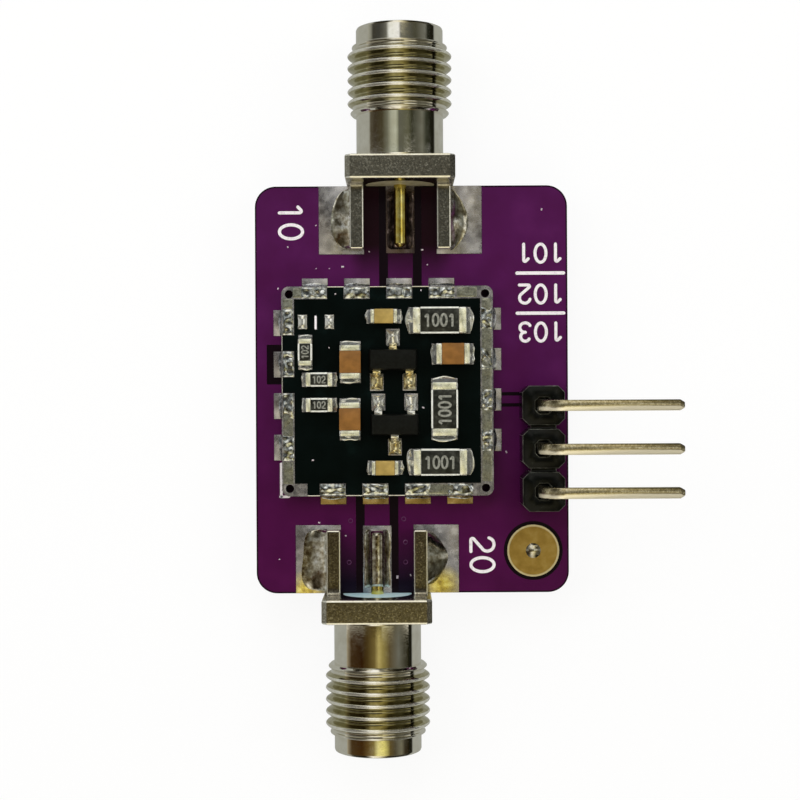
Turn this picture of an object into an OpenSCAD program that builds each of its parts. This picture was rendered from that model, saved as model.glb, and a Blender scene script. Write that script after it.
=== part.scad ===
// Voltage controlled attenuator on a small carrier board: an edge-launch coaxial jack
// at each end, a soldered square module with its shield left off, and a bent pin header.
// The board lies flat, +X and +Y run along its edges and +Z leaves its component side.

/* [Carrier board] */
// Width of the carrier board, along X
board_w = 18.8; // [17:0.1:24]
// Length of the carrier board, along Y
board_l = 24.5; // [24:0.1:32]
// Thickness of the carrier board
board_t = 1.6; // [1:0.1:2]
// Corner radius of the carrier board
board_r = 1.25; // [0.3:0.05:2.5]
// Height of a tinned copper land above the board
land_t = 0.05; // [0.03:0.01:0.08]
// Depth of the bare gaps beside the signal tracks
gap_depth = 0.03; // [0.02:0.01:0.06]
// Width of the bare gaps beside the signal tracks
gap_w = 0.42; // [0.2:0.02:0.5]
// Width of a radio frequency track
track_w = 1.5; // [1:0.05:1.7]
// Width of the control track to the header
control_track_w = 0.46; // [0.3:0.02:0.6]

/* [Module] */
// Width of the module board, along X
module_w = 12.6; // [12:0.1:13.2]
// Length of the module board, along Y
module_l = 12.5; // [12:0.1:13.2]
// Thickness of the module board
module_t = 1; // [0.6:0.1:1.6]
// Corner radius of the module board
module_r = 0.45; // [0.2:0.05:0.8]
// Place of the module's centre along X, from the carrier's centre
module_x = -1.46; // [-1.8:0.02:-1]
// Place of the module's centre along Y, from the carrier's centre
module_y = -0.1; // [-0.4:0.02:0.4]
// Wall of the metal plated round the module's edge
plating_t = 0.06; // [0.03:0.01:0.1]
// Width of the tinned rim track that a shield would be soldered to
rim_w = 0.75; // [0.6:0.05:0.9]
// Diameter of the shield peg holes in the module's corners
peg_d = 0.5; // [0.3:0.05:0.6]
// Distance from the module's edge to the middle of a peg hole
peg_inset = 0.46; // [0.4:0.02:0.6]

/* [Module connections] */
// Spacing of the pads along the two ends of the module
end_pitch = 2.54; // [2.3:0.02:2.7]
// Spacing of the pads along the left side of the module
left_pitch = 2.5; // [2.3:0.02:2.6]
// Spacing of the pads along the right side of the module
right_pitch = 2.43; // [2.2:0.01:2.6]
// Offset of the upper row of pads from the module's middle
upper_shift = -0.54; // [-0.7:0.02:0.3]
// Offset of the lower row of pads from the module's middle
lower_shift = 0.52; // [-0.3:0.02:0.7]
// Offset of the left row of pads from the module's middle
left_shift = 0.38; // [-0.3:0.02:0.6]
// Offset of the right row of pads from the module's middle
right_shift = 0.68; // [-0.3:0.02:0.8]
// Width of an upper, lower or left pad
pad_w = 1.55; // [1.2:0.05:1.8]
// Width of a right pad
right_pad_w = 1.33; // [1:0.01:1.6]
// Length of a carrier land that shows past the module
land_out = 0.55; // [0.3:0.05:0.7]
// Length of a carrier land that lies under the module
land_under = 0.8; // [0.4:0.05:1.2]
// Height that solder climbs the module's edge
joint_h = 0.35; // [0.2:0.05:0.6]
// Width of that solder over the carrier land
joint_w = 0.26; // [0.15:0.01:0.3]

/* [Jack shell] */
// Distance that both jacks stand to the right of the module's signal pads
jack_shift = 0.08; // [-0.1:0.01:0.15]
// Side of the square flange
flange_s = 6.45; // [6.4:0.05:7.2]
// Thickness of the flange
flange_t = 1.45; // [1:0.05:2]
// Bevel on the edges of the flange's two faces
flange_bevel = 0.12; // [0.05:0.01:0.25]
// Cut along the flange's four corners
flange_corner = 0.3; // [0.2:0.02:0.5]
// Diameter of the barrel behind the thread and of the nose
barrel_d = 5.2; // [5:0.05:5.6]
// Length of the barrel between flange and thread
barrel_l = 2.65; // [1.5:0.05:4]
// Major diameter of the coupling thread
thread_d = 6.24; // [5.9:0.02:6.3]
// Length of the coupling thread
thread_l = 4.15; // [3:0.05:6]
// Spacing of the thread's ridges
thread_pitch = 0.7056; // [0.5:0.0001:1]
// Depth of the grooves between the ridges
thread_depth = 0.38; // [0.2:0.02:0.44]
// Bevel at both ends of the thread
thread_bevel = 0.3; // [0.1:0.02:0.45]
// Length of the plain nose
nose_l = 1.1; // [0.6:0.05:2]
// Bevel on the nose's rim
nose_bevel = 0.15; // [0.05:0.01:0.25]
// Diameter of the mouth
mouth_d = 4.6; // [4.3:0.05:4.8]
// Depth of the mouth
mouth_depth = 1.9; // [1.2:0.05:2.4]
// Diameter of the insulator and of its bore
insulator_d = 4.1; // [3.8:0.05:4.2]

/* [Jack legs and contact] */
// Width of a leg
leg_w = 0.84; // [0.6:0.02:1]
// Height of a leg
leg_h = 1; // [0.6:0.05:1.1]
// Length of a leg
leg_l = 3.85; // [2:0.05:5]
// Distance from the flange's side to a leg's outer face
leg_inset = 0.2; // [0.14:0.01:0.3]
// Bevel on a leg's long upper edges and its end
leg_bevel = 0.08; // [0.03:0.01:0.15]
// Diameter of the contact's body
contact_d = 1.27; // [1.1:0.01:1.5]
// Diameter of the contact's solder tail
tail_d = 0.76; // [0.5:0.02:0.9]
// Length of the contact's solder tail past the flange
tail_l = 3.7; // [2:0.05:5]
// Diameter of the contact's socket
socket_d = 0.93; // [0.8:0.01:1]
// Depth of the contact's socket
socket_depth = 2.6; // [1.5:0.1:3.5]
// Width of the slot across the contact's socket
slot_w = 0.15; // [0.08:0.01:0.2]
// Length of the slot across the contact's socket
slot_l = 1.8; // [1:0.1:2.4]
// Thickness of the insulator left behind the contact's body
back_wall = 1; // [0.6:0.1:2]

/* [Jack lands and solder] */
// Width of a signal land
signal_land_w = 1.72; // [1.5:0.02:2]
// Length of a signal land
signal_land_l = 4.05; // [3.9:0.05:4.3]
// Width of a ground land
ground_land_w = 2.72; // [2.4:0.02:3]
// Length of a ground land
ground_land_l = 4.1; // [3.9:0.05:4.4]
// Width of the solder beside a leg
leg_solder_w = 1.15; // [0.6:0.05:1.3]
// Height of the solder beside a leg
leg_solder_h = 0.8; // [0.4:0.05:0.95]
// Length of the solder beside a leg
leg_solder_l = 3.3; // [1.5:0.05:3.6]
// Width of the solder beside the contact's tail
tail_solder_w = 0.38; // [0.2:0.02:0.4]
// Height of the solder beside the contact's tail
tail_solder_h = 0.36; // [0.2:0.02:0.4]

/* [Header] */
// Spacing of the header's pins
pin_pitch = 2.54; // [2.5:0.01:2.6]
// Side of a square pin
pin_s = 0.64; // [0.5:0.02:0.66]
// Width of the header's housing
housing_w = 2.5; // [2.3:0.05:2.6]
// Length of one cell of the housing
cell_l = 2.32; // [2.1:0.02:2.4]
// Height of the housing
housing_h = 2.54; // [2.2:0.02:3.2]
// Cut at a cell's corners
cell_cut = 0.38; // [0.2:0.02:0.5]
// Depth of the grooves between cells, from the housing's faces
groove_depth = 0.3; // [0.1:0.02:0.4]
// Side of the pocket round a pin
pocket_s = 1; // [0.8:0.05:1.2]
// Depth of the pocket round a pin
pocket_depth = 0.3; // [0.1:0.05:0.6]
// Gap between the board's edge and the housing
housing_inset = 0.43; // [0.2:0.01:0.6]
// Place of the first pin along Y, from the carrier's centre
pin_y = -1; // [-1.6:0.02:-0.6]
// Straight rise of a pin above the housing
pin_rise = 0.4; // [0.2:0.05:2]
// Radius of a pin's bend along its middle
bend_r = 1.1; // [0.8:0.05:1.6]
// Length of a pin's level arm past its bend
pin_arm = 6.92; // [4:0.02:9]
// Length of the taper at a pin's end
pin_taper = 0.3; // [0.1:0.02:0.6]
// Length of a pin's tail below the board
pin_tail = 0.7; // [0.4:0.05:0.9]
// Diameter of the holes for the pins
pin_hole_d = 1; // [0.95:0.01:1.1]
// Diameter of the land round a pin's hole
pin_land_d = 1.7; // [1.4:0.05:2]
// Height of the solder round a pin's tail
pin_solder_h = 0.5; // [0.3:0.05:0.6]

/* [Round pad] */
// Diameter of the round pad
round_pad_d = 3.13; // [2.4:0.01:3.3]
// Distance from the board's right edge to the middle of the pad
round_pad_x = 2.14; // [2.1:0.01:2.6]
// Width of the ring round the pad's edge
pad_ring_w = 0.12; // [0.05:0.01:0.2]
// Width of the groove inside that ring
pad_groove_w = 0.09; // [0.05:0.01:0.15]
// Diameter of the hole in the pad
pad_hole_d = 0.9; // [0.6:0.02:1.2]
// Height of the solder dome over the pad
pad_dome_h = 0.14; // [0.05:0.01:0.25]

/* [Chip sizes] */
// Length of a load resistor
load_l = 3.2; // [2.8:0.05:3.4]
// Width of a load resistor
load_w = 1.58; // [1.4:0.02:1.7]
// Height of a load resistor
load_h = 0.58; // [0.4:0.02:0.8]
// Length of a metal end of a load resistor
load_end = 0.46; // [0.3:0.02:0.6]
// Length of a bias resistor
bias_l = 1.6; // [1.5:0.02:1.7]
// Width of a bias resistor
bias_w = 0.84; // [0.7:0.02:0.9]
// Height of a bias resistor
bias_h = 0.46; // [0.35:0.01:0.6]
// Length of a metal end of a bias resistor
bias_end = 0.3; // [0.2:0.01:0.4]
// Length of a bypass capacitor
bypass_l = 2.02; // [1.9:0.02:2.2]
// Width of a bypass capacitor
bypass_w = 1.25; // [1.1:0.01:1.35]
// Height of a bypass capacitor
bypass_h = 0.85; // [0.6:0.05:1.25]
// Length of a metal end of a bypass capacitor
bypass_end = 0.36; // [0.25:0.01:0.5]
// Length of a coupling capacitor
coupling_l = 1.6; // [1.5:0.02:1.7]
// Width of a coupling capacitor
coupling_w = 0.84; // [0.7:0.02:0.9]
// Height of a coupling capacitor
coupling_h = 0.8; // [0.5:0.05:0.9]
// Length of a metal end of a coupling capacitor
coupling_end = 0.24; // [0.2:0.01:0.4]
// Thickness of the overcoat on a resistor
coat_t = 0.03; // [0.02:0.01:0.05]
// Bare width of ceramic beside an overcoat
coat_margin = 0.1; // [0.05:0.01:0.2]
// Reach of the solder past a chip's end
toe = 0.24; // [0.12:0.02:0.3]
// Height of the solder on a chip's end
toe_h = 0.3; // [0.15:0.01:0.34]

/* [Diode sizes] */
// Length of a diode's body
diode_l = 2.9; // [2.7:0.05:3]
// Width of a diode's body
diode_w = 1.3; // [1.1:0.02:1.4]
// Height of a diode's body
diode_h = 0.95; // [0.8:0.05:1.1]
// Height of a diode's body above its land
diode_lift = 0.06; // [0.02:0.01:0.15]
// Inset of a diode's sides at its top, where they lean in
diode_inset = 0.1; // [0.02:0.01:0.15]
// Spacing of a diode's paired leads
lead_pitch = 1.95; // [1.8:0.01:2]
// Width of a lead
lead_w = 0.46; // [0.3:0.02:0.5]
// Thickness of a lead
lead_t = 0.13; // [0.1:0.01:0.18]
// Height of a lead's shoulder
lead_z = 0.52; // [0.4:0.02:0.6]
// Reach of a lead's foot past the body
lead_reach = 0.6; // [0.45:0.01:0.65]
// Width of a lead's land
lead_land_w = 0.82; // [0.6:0.02:0.9]
// Length of a lead's land
lead_land_l = 1; // [0.7:0.02:1.05]

/* [Chip places] */
// Middle of the upper load resistor from the module's, as shares of the module's width and length
load_1_at = [0.2475, 0.335]; // [-0.45:0.0005:0.45]
// Middle of the right load resistor
load_2_at = [0.269, -0.087]; // [-0.45:0.0005:0.45]
// Middle of the lower load resistor
load_3_at = [0.2475, -0.339]; // [-0.45:0.0005:0.45]
// Middle of the upper bias resistor, which stands across the others
bias_1_at = [-0.3875, 0.1865]; // [-0.45:0.0005:0.45]
// Middle of the middle bias resistor
bias_2_at = [-0.322, 0.056]; // [-0.45:0.0005:0.45]
// Middle of the lower bias resistor
bias_3_at = [-0.322, -0.065]; // [-0.45:0.0005:0.45]
// Middle of the upper left bypass capacitor
bypass_1_at = [-0.1745, 0.1385]; // [-0.45:0.0005:0.45]
// Middle of the lower left bypass capacitor
bypass_2_at = [-0.177, -0.1335]; // [-0.45:0.0005:0.45]
// Middle of the right bypass capacitor
bypass_3_at = [0.3095, 0.175]; // [-0.45:0.0005:0.45]
// Middle of the upper coupling capacitor
coupling_1_at = [-0.015, 0.355]; // [-0.45:0.0005:0.45]
// Middle of the lower coupling capacitor
coupling_2_at = [-0.0125, -0.365]; // [-0.45:0.0005:0.45]
// Middle of the upper diode
diode_1_at = [0.027, 0.149]; // [-0.45:0.0005:0.45]
// Middle of the lower diode
diode_2_at = [0.034, -0.16]; // [-0.45:0.0005:0.45]
// Middle of the unused chip footprint
spare_at = [-0.3365, 0.331]; // [-0.45:0.0005:0.45]
// Spacing of the unused footprint's lands
spare_pitch = 1.6; // [1.4:0.05:1.8]
// Width of an unused land
spare_land_w = 0.55; // [0.4:0.05:0.8]
// Length of an unused land
spare_land_l = 0.84; // [0.6:0.02:1]

/* [Hidden] */
$fn = 48;

// Pads on each side of the module, and pins of the header
side_pads = 4;
pin_count = 3;
// Length by which a cutting tool passes the faces that it cuts
past = 1;
row = [for (k = [0 : side_pads - 1]) k - (side_pads - 1) / 2];
upper_pads = [for (k = row) upper_shift + k * end_pitch];
lower_pads = [for (k = row) lower_shift + k * end_pitch];
left_pads = [for (k = row) left_shift - k * left_pitch];
right_pads = [for (k = row) right_shift - k * right_pitch];

// The third upper pad and the second lower pad carry the signal, and the jacks line up with them
signal_upper = 2;
signal_lower = 1;
input_x = module_x + upper_pads[signal_upper] + jack_shift;
output_x = module_x + lower_pads[signal_lower] + jack_shift;
// The second left pad stands alone, and the third right pad takes the control voltage
lone_left = 1;
control_right = 2;

// Levels: the carrier's top is 0
land_top = land_t;
module_z = land_top;
module_top = module_z + module_t;
chip_z = module_top + land_t;
under = -board_t;
axis_z = land_top + tail_d / 2;
flange_low = axis_z - flange_s / 2;

// Shares of the thread's pitch: its crest, its root, and where the first groove lies
crest_share = 0.2;
root_share = 0.14;
groove_start = 0.55;

// Stations along a jack, from the flange's back face
thread_y = flange_t + barrel_l;
nose_y = thread_y + thread_l;
jack_l = nose_y + nose_l;
seat_y = jack_l - mouth_depth;
leg_x = flange_s / 2 - leg_inset - leg_w;

housing_x = board_w / 2 - housing_inset - housing_w / 2;
last_pin_y = pin_y - (pin_count - 1) * pin_pitch;
pin_tip_x = housing_x + bend_r + pin_arm;
arm_z = housing_h + pin_rise + bend_r;

// The round pad lies halfway between the header's housing and the board's lower edge
pad_x = board_w / 2 - round_pad_x;
pad_y = (last_pin_y - cell_l / 2 - board_l / 2) / 2;

// The frame's origin: under the middle of the whole part, on the surface it stands on
mid_x = (pin_tip_x - board_w / 2) / 2;
module seat() translate([-mid_x, 0, -flange_low]) children();
module on_module(at = [0, 0], z = 0, turn = 0)
    seat() translate([module_x + at[0] * module_w, module_y + at[1] * module_l, z]) rotate(turn) children();

copper = "Silver";
nickel = "LightSteelBlue";
ceramic = "WhiteSmoke";

// Flat outline with rounded corners
module round_rect(w, l, r) {
    square([w - 2 * r, l], center = true);
    square([w, l - 2 * r], center = true);
    for (x = [-1, 1], y = [-1, 1])
        translate([x * (w / 2 - r), y * (l / 2 - r)]) circle(r);
}

// Flat outline with its corners cut off
module cut_rect(w, l, cut) {
    polygon([
        [-w / 2 + cut, -l / 2], [w / 2 - cut, -l / 2], [w / 2, -l / 2 + cut], [w / 2, l / 2 - cut],
        [w / 2 - cut, l / 2], [-w / 2 + cut, l / 2], [-w / 2, l / 2 - cut], [-w / 2, -l / 2 + cut]
    ]);
}

// Plate centred on the origin, standing on z = 0
module plate(w, l, t) translate([-w / 2, -l / 2, 0]) cube([w, l, t]);

// Block centred on the origin whose edges all carry the same bevel
module bevelled_block(w, l, h, bevel) {
    intersection() {
        translate([0, 0, -h / 2]) linear_extrude(h) cut_rect(w, l, bevel);
        rotate([90, 0, 0]) translate([0, 0, -l / 2]) linear_extrude(l) cut_rect(w, h, bevel);
        rotate([90, 0, 90]) translate([0, 0, -w / 2]) linear_extrude(w) cut_rect(l, h, bevel);
    }
}

// Block standing on z = 0 whose four sides lean in by the draft
module drafted_block(w, l, h, draft) {
    intersection() {
        rotate([90, 0, 0]) translate([0, 0, -l / 2]) linear_extrude(l)
            polygon([[-w / 2, 0], [w / 2, 0], [w / 2 - draft, h], [-w / 2 + draft, h]]);
        rotate([90, 0, 90]) translate([0, 0, -w / 2]) linear_extrude(w)
            polygon([[-l / 2, 0], [l / 2, 0], [l / 2 - draft, h], [-l / 2 + draft, h]]);
    }
}

// Hollow-faced fillet along Y: it stands on z = 0 and leans on the plane x = 0
module fillet(reach, height, length) {
    rotate([90, 0, 0]) translate([0, 0, -length / 2]) linear_extrude(height = length)
        fillet_section(reach, height);
}
// Its section, a right triangle whose slope sags by a fifth of its length
module fillet_section(reach, height) {
    steps = 6;
    sag = 0.2;
    polygon(concat([[0, 0]], [
        for (k = [0 : steps])
            let (t = k / steps, bow = sag * 4 * t * (1 - t))
                [reach * (1 - t) * (1 - bow), height * t * (1 - bow)]
    ]));
}

// Places of the two jacks: each child is drawn with its flange's back on y = 0, reaching along +Y
module at_input() seat() translate([input_x, board_l / 2, 0]) children();
module at_output() seat() translate([output_x, -board_l / 2, 0]) rotate(180) children();

module carrier_board() {
    color("Indigo") seat() difference() {
        translate([0, 0, under]) linear_extrude(board_t) round_rect(board_w, board_l, board_r);
        for (k = [0 : pin_count - 1])
            translate([housing_x, pin_y - k * pin_pitch, under - past])
                cylinder(d = pin_hole_d, h = board_t + 2 * past);
        translate([pad_x, pad_y, under - past])
            cylinder(d = pad_hole_d, h = board_t + 2 * past);
        translate([0, 0, -gap_depth]) linear_extrude(gap_depth + past) bare_gaps();
    }
}

// Plan of the bare gaps beside the tracks and round the pads that stand alone
module bare_gaps() {
    signal_gap(input_x, module_y + module_l / 2 - land_under, board_l / 2, board_l / 2 - signal_land_l);
    signal_gap(output_x, -board_l / 2, module_y - module_l / 2 + land_under, -board_l / 2);
    lone_gap();
    control_gap();
    round_pad_gap();
}
// Gap on both sides of a signal track from y_low to y_high, stepping round the land at land_y
module signal_gap(x, y_low, y_high, land_y) {
    difference() {
        translate([x - signal_land_w / 2 - gap_w, y_low])
            square([signal_land_w + 2 * gap_w, y_high - y_low]);
        translate([x - track_w / 2, y_low]) square([track_w, y_high - y_low]);
        translate([x - signal_land_w / 2, land_y]) square([signal_land_w, signal_land_l]);
    }
}
// Gap round the land of the module's lone left pad
module lone_gap() {
    y = module_y + left_pads[lone_left];
    x = module_x - module_w / 2 - land_out;
    reach = land_out + land_under;
    difference() {
        translate([x - gap_w, y - pad_w / 2 - gap_w]) square([reach + gap_w, pad_w + 2 * gap_w]);
        translate([x, y - pad_w / 2]) square([reach, pad_w]);
    }
}
// Gap on both sides of the control track, from the module to the header
module control_gap() {
    y = module_y + right_pads[control_right];
    x = module_x + module_w / 2 + land_out;
    difference() {
        translate([x, y - control_track_w / 2 - gap_w / 2])
            square([housing_x - housing_w / 2 - x, control_track_w + gap_w]);
        translate([x, y - control_track_w / 2])
            square([housing_x - housing_w / 2 - x, control_track_w]);
    }
}
// Ring gap round the round pad
module round_pad_gap() {
    translate([pad_x, pad_y]) difference() {
        circle(d = round_pad_d + gap_w);
        circle(d = round_pad_d);
    }
}

// Tinned lands on both faces that the jacks' legs stand on
module ground_lands() {
    color(copper) {
        at_input() jack_ground_lands();
        at_output() jack_ground_lands();
    }
}
module jack_ground_lands() {
    for (side = [-1, 1], z = [0, under - land_t])
        translate([side * (leg_x + ground_land_w / 2), -ground_land_l / 2, z])
            plate(ground_land_w, ground_land_l, land_t);
}

// Tinned lands under the jacks' contacts
module signal_lands() {
    color(copper) {
        at_input() translate([0, -signal_land_l / 2, 0]) plate(signal_land_w, signal_land_l, land_t);
        at_output() translate([0, -signal_land_l / 2, 0]) plate(signal_land_w, signal_land_l, land_t);
    }
}

// Sixteen tinned lands that the module is soldered down on
module module_lands() {
    reach = land_out + land_under;
    mid = land_out - reach / 2;
    color(copper) on_module() {
        for (x = upper_pads) translate([x, module_l / 2 + mid, 0]) plate(pad_w, reach, land_t);
        for (x = lower_pads) translate([x, -module_l / 2 - mid, 0]) plate(pad_w, reach, land_t);
        for (y = left_pads) translate([-module_w / 2 - mid, y, 0]) plate(reach, pad_w, land_t);
        for (y = right_pads) translate([module_w / 2 + mid, y, 0]) plate(reach, right_pad_w, land_t);
    }
}

// Ring lands round the pins' holes on the board's underside
module header_lands() {
    color(copper) seat() for (k = [0 : pin_count - 1])
        translate([housing_x, pin_y - k * pin_pitch, under - land_t]) difference() {
            cylinder(d = pin_land_d, h = land_t);
            translate([0, 0, -past]) cylinder(d = pin_hole_d, h = land_t + 2 * past);
        }
}

// Gilt pad with a raised edge ring on the top face and a plain ring underneath
module round_pad() {
    outer = round_pad_d / 2;
    ring = outer - pad_ring_w;
    color("Goldenrod") seat() translate([pad_x, pad_y, 0]) {
        rotate_extrude() polygon([
            [pad_hole_d / 2, 0], [outer, 0], [outer, land_t], [ring, land_t],
            [ring, land_t / 2], [ring - pad_groove_w, land_t / 2], [ring - pad_groove_w, land_t],
            [pad_hole_d / 2, land_t]
        ]);
        translate([0, 0, under - land_t]) difference() {
            cylinder(r = outer, h = land_t);
            translate([0, 0, -past]) cylinder(d = pad_hole_d, h = land_t + 2 * past);
        }
    }
}

// Solder that fills the round pad's hole, domed over the top
module round_pad_solder() {
    r = pad_hole_d / 2;
    dome_r = (r * r + pad_dome_h * pad_dome_h) / (2 * pad_dome_h);
    color("Gainsboro") seat() translate([pad_x, pad_y, 0]) {
        translate([0, 0, under - land_t]) cylinder(r = r, h = board_t + 2 * land_t);
        intersection() {
            translate([0, 0, land_t + pad_dome_h - dome_r]) sphere(dome_r);
            translate([0, 0, land_t]) cylinder(r = r, h = pad_dome_h);
        }
    }
}

// Shell of a jack in one piece: flange, legs, barrel, thread and nose, bored right through
module jack_shell() {
    difference() {
        union() {
            translate([0, flange_t / 2, axis_z]) flange();
            translate([0, 0, axis_z]) rotate([-90, 0, 0]) rotate_extrude() difference() {
                barrel_profile();
                for (k = [0 : floor(thread_l / thread_pitch)])
                    translate([thread_d / 2, thread_y + (k + groove_start) * thread_pitch])
                        thread_groove();
            }
            for (side = [-1, 1]) {
                translate([side * (leg_x + leg_w / 2), 0, land_top]) leg();
                translate([side * (leg_x + leg_w / 2), 0, under - land_t]) mirror([0, 0, 1]) leg();
            }
        }
        translate([0, -past, axis_z]) rotate([-90, 0, 0]) cylinder(d = insulator_d, h = jack_l + 2 * past);
        translate([0, seat_y, axis_z]) rotate([-90, 0, 0]) cylinder(d = mouth_d, h = mouth_depth + past);
    }
}
// Flange milled from square bar, centred on the origin
module flange() {
    intersection() {
        bevelled_block(flange_s, flange_t, flange_s, flange_bevel);
        rotate([90, 0, 0]) translate([0, 0, -flange_t / 2]) linear_extrude(flange_t)
            cut_rect(flange_s, flange_s, flange_corner);
    }
}
// Half section of barrel, thread and nose before the thread is cut, with the axis on x = 0
module barrel_profile() {
    polygon([
        [0, flange_t], [barrel_d / 2, flange_t], [barrel_d / 2, thread_y],
        [thread_d / 2 - thread_bevel, thread_y], [thread_d / 2, thread_y + thread_bevel],
        [thread_d / 2, nose_y - thread_bevel], [thread_d / 2 - thread_bevel, nose_y],
        [barrel_d / 2, nose_y], [barrel_d / 2, jack_l - nose_bevel],
        [barrel_d / 2 - nose_bevel, jack_l], [0, jack_l]
    ]);
}
// Section of one groove, with x = 0 on the crests. The ridges lie level, as the photographed ones do.
module thread_groove() {
    mouth = thread_pitch * (1 - crest_share) / 2;
    root = thread_pitch * root_share / 2;
    polygon([
        [-thread_depth, -root], [0, -mouth], [past, -mouth],
        [past, mouth], [0, mouth], [-thread_depth, root]
    ]);
}
// One leg, from the flange's back along -Y, standing on z = 0 with a bevelled top
module leg() {
    rooted = flange_bevel;
    intersection() {
        rotate([90, 0, 0]) translate([0, 0, -rooted]) linear_extrude(leg_l + rooted) polygon([
            [-leg_w / 2, 0], [leg_w / 2, 0], [leg_w / 2, leg_h - leg_bevel],
            [leg_w / 2 - leg_bevel, leg_h], [-leg_w / 2 + leg_bevel, leg_h],
            [-leg_w / 2, leg_h - leg_bevel]
        ]);
        rotate([90, 0, 90]) translate([0, 0, -leg_w / 2]) linear_extrude(leg_w) polygon([
            [-leg_l, 0], [rooted, 0], [rooted, leg_h], [-leg_l + leg_bevel, leg_h],
            [-leg_l, leg_h - leg_bevel]
        ]);
    }
}

// Insulator that fills the shell's bore behind the mouth, round the contact
module jack_insulator() {
    translate([0, 0, axis_z]) rotate([-90, 0, 0]) difference() {
        cylinder(d = insulator_d, h = seat_y);
        translate([0, 0, back_wall]) cylinder(d = contact_d, h = seat_y);
        translate([0, 0, -past]) cylinder(d = tail_d, h = seat_y);
    }
}

// Contact in one piece: slotted socket, body and round-ended solder tail
module jack_contact() {
    tip = tail_d / 4;
    translate([0, 0, axis_z]) rotate([-90, 0, 0]) difference() {
        rotate_extrude() polygon([
            [0, -tail_l], [tail_d / 2 - tip, -tail_l], [tail_d / 2, -tail_l + tip],
            [tail_d / 2, back_wall], [contact_d / 2, back_wall], [contact_d / 2, seat_y], [0, seat_y]
        ]);
        translate([0, 0, seat_y - socket_depth]) cylinder(d = socket_d, h = socket_depth + past);
        translate([-contact_d / 2 - past, -slot_w / 2, seat_y - slot_l])
            cube([contact_d + 2 * past, slot_w, slot_l + past]);
    }
}

// Solder of one jack: beside its four legs and along both sides of its tail
module jack_solder() {
    legs_out = leg_x + leg_w;
    for (side = [0, 1]) mirror([side, 0, 0]) {
        for (z = [0, 1]) translate([0, 0, z * (under)]) mirror([0, 0, z])
            translate([legs_out, -leg_l + leg_solder_l / 2, land_t])
                fillet(leg_solder_w, leg_solder_h, leg_solder_l);
        tail_fillet();
    }
}
// Solder under one side of the tail: it rises from the land and stops at the tail's own curve
module tail_fillet() {
    r = tail_d / 2;
    tip = tail_d / 4;
    translate([0, -tail_l + tip, land_top]) rotate([90, 0, 0]) mirror([0, 0, 1])
        linear_extrude(tail_l - 2 * tip) difference() {
            fillet_section(r + tail_solder_w, tail_solder_h);
            translate([0, r]) circle(r);
        }
}

module input_jack_shell() color(nickel) at_input() jack_shell();
module input_jack_insulator() color("White") at_input() jack_insulator();
module input_jack_contact() color("Gold") at_input() jack_contact();
module input_jack_solder() color("Gainsboro") at_input() jack_solder();
module output_jack_shell() color(nickel) at_output() jack_shell();
module output_jack_insulator() color("White") at_output() jack_insulator();
module output_jack_contact() color("Gold") at_output() jack_contact();
module output_jack_solder() color("Gainsboro") at_output() jack_solder();

// Moulded housing: a row of eight-sided cells joined by narrower webs, pierced for the pins
module header_housing() {
    web_w = housing_w - 2 * groove_depth - cell_cut;
    color("DimGray") seat() translate([housing_x, pin_y, 0]) difference() {
        union() {
            for (k = [0 : pin_count - 1]) translate([0, -k * pin_pitch, 0])
                linear_extrude(housing_h) cut_rect(housing_w, cell_l, cell_cut);
            translate([0, (last_pin_y - pin_y) / 2, 0])
                plate(web_w, pin_y - last_pin_y, housing_h - groove_depth);
        }
        for (k = [0 : pin_count - 1]) translate([0, -k * pin_pitch, 0]) {
            translate([0, 0, -past]) plate(pin_s, pin_s, housing_h + 2 * past);
            translate([0, 0, housing_h - pocket_depth])
                linear_extrude(pocket_depth + past) cut_rect(pocket_s, pocket_s, pocket_s / 4);
        }
    }
}

// One pin: a square wire with tapered ends, bent once from upright to level
module header_pin(k) {
    upright = pin_tail + board_t + housing_h + pin_rise - pin_taper;
    color("Gold") seat() translate([housing_x, pin_y - k * pin_pitch, 0]) {
        translate([0, 0, under - pin_tail + pin_taper]) {
            plate(pin_s, pin_s, upright);
            mirror([0, 0, 1]) drafted_block(pin_s, pin_s, pin_taper, pin_s / 4);
        }
        translate([bend_r, 0, housing_h + pin_rise]) rotate([90, 0, 180])
            rotate_extrude(angle = 90) translate([bend_r - pin_s / 2, -pin_s / 2]) square(pin_s);
        translate([bend_r, 0, arm_z]) rotate([0, 90, 0]) {
            plate(pin_s, pin_s, pin_arm - pin_taper);
            translate([0, 0, pin_arm - pin_taper]) drafted_block(pin_s, pin_s, pin_taper, pin_s / 4);
        }
    }
}
module header_pin_1() header_pin(0);
module header_pin_2() header_pin(1);
module header_pin_3() header_pin(2);

// Solder cones round the pins' tails under the board
module header_solder() {
    wetted = under - land_t;
    color("Gainsboro") seat() for (k = [0 : pin_count - 1])
        translate([housing_x, pin_y - k * pin_pitch, wetted]) difference() {
            mirror([0, 0, 1])
                cylinder(d1 = pin_land_d, d2 = pin_s * sqrt(2), h = pin_solder_h, $fn = 64);
            translate([0, 0, -pin_solder_h - past]) plate(pin_s, pin_s, pin_solder_h + 2 * past);
        }
}

module module_board() {
    color("#101412") on_module(z = module_z) difference() {
        linear_extrude(module_t)
            round_rect(module_w - 2 * plating_t, module_l - 2 * plating_t, module_r - plating_t);
        peg_holes();
    }
}
module peg_holes() {
    for (x = [-1, 1], y = [-1, 1])
        translate([x * (module_w / 2 - peg_inset), y * (module_l / 2 - peg_inset), -past])
            cylinder(d = peg_d, h = module_t + 2 * past);
}

// Metal wall plated round the module's edge
module module_edge_plating() {
    color(copper) on_module(z = module_z) linear_extrude(module_t) difference() {
        round_rect(module_w, module_l, module_r);
        round_rect(module_w - 2 * plating_t, module_l - 2 * plating_t, module_r - plating_t);
    }
}

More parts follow.
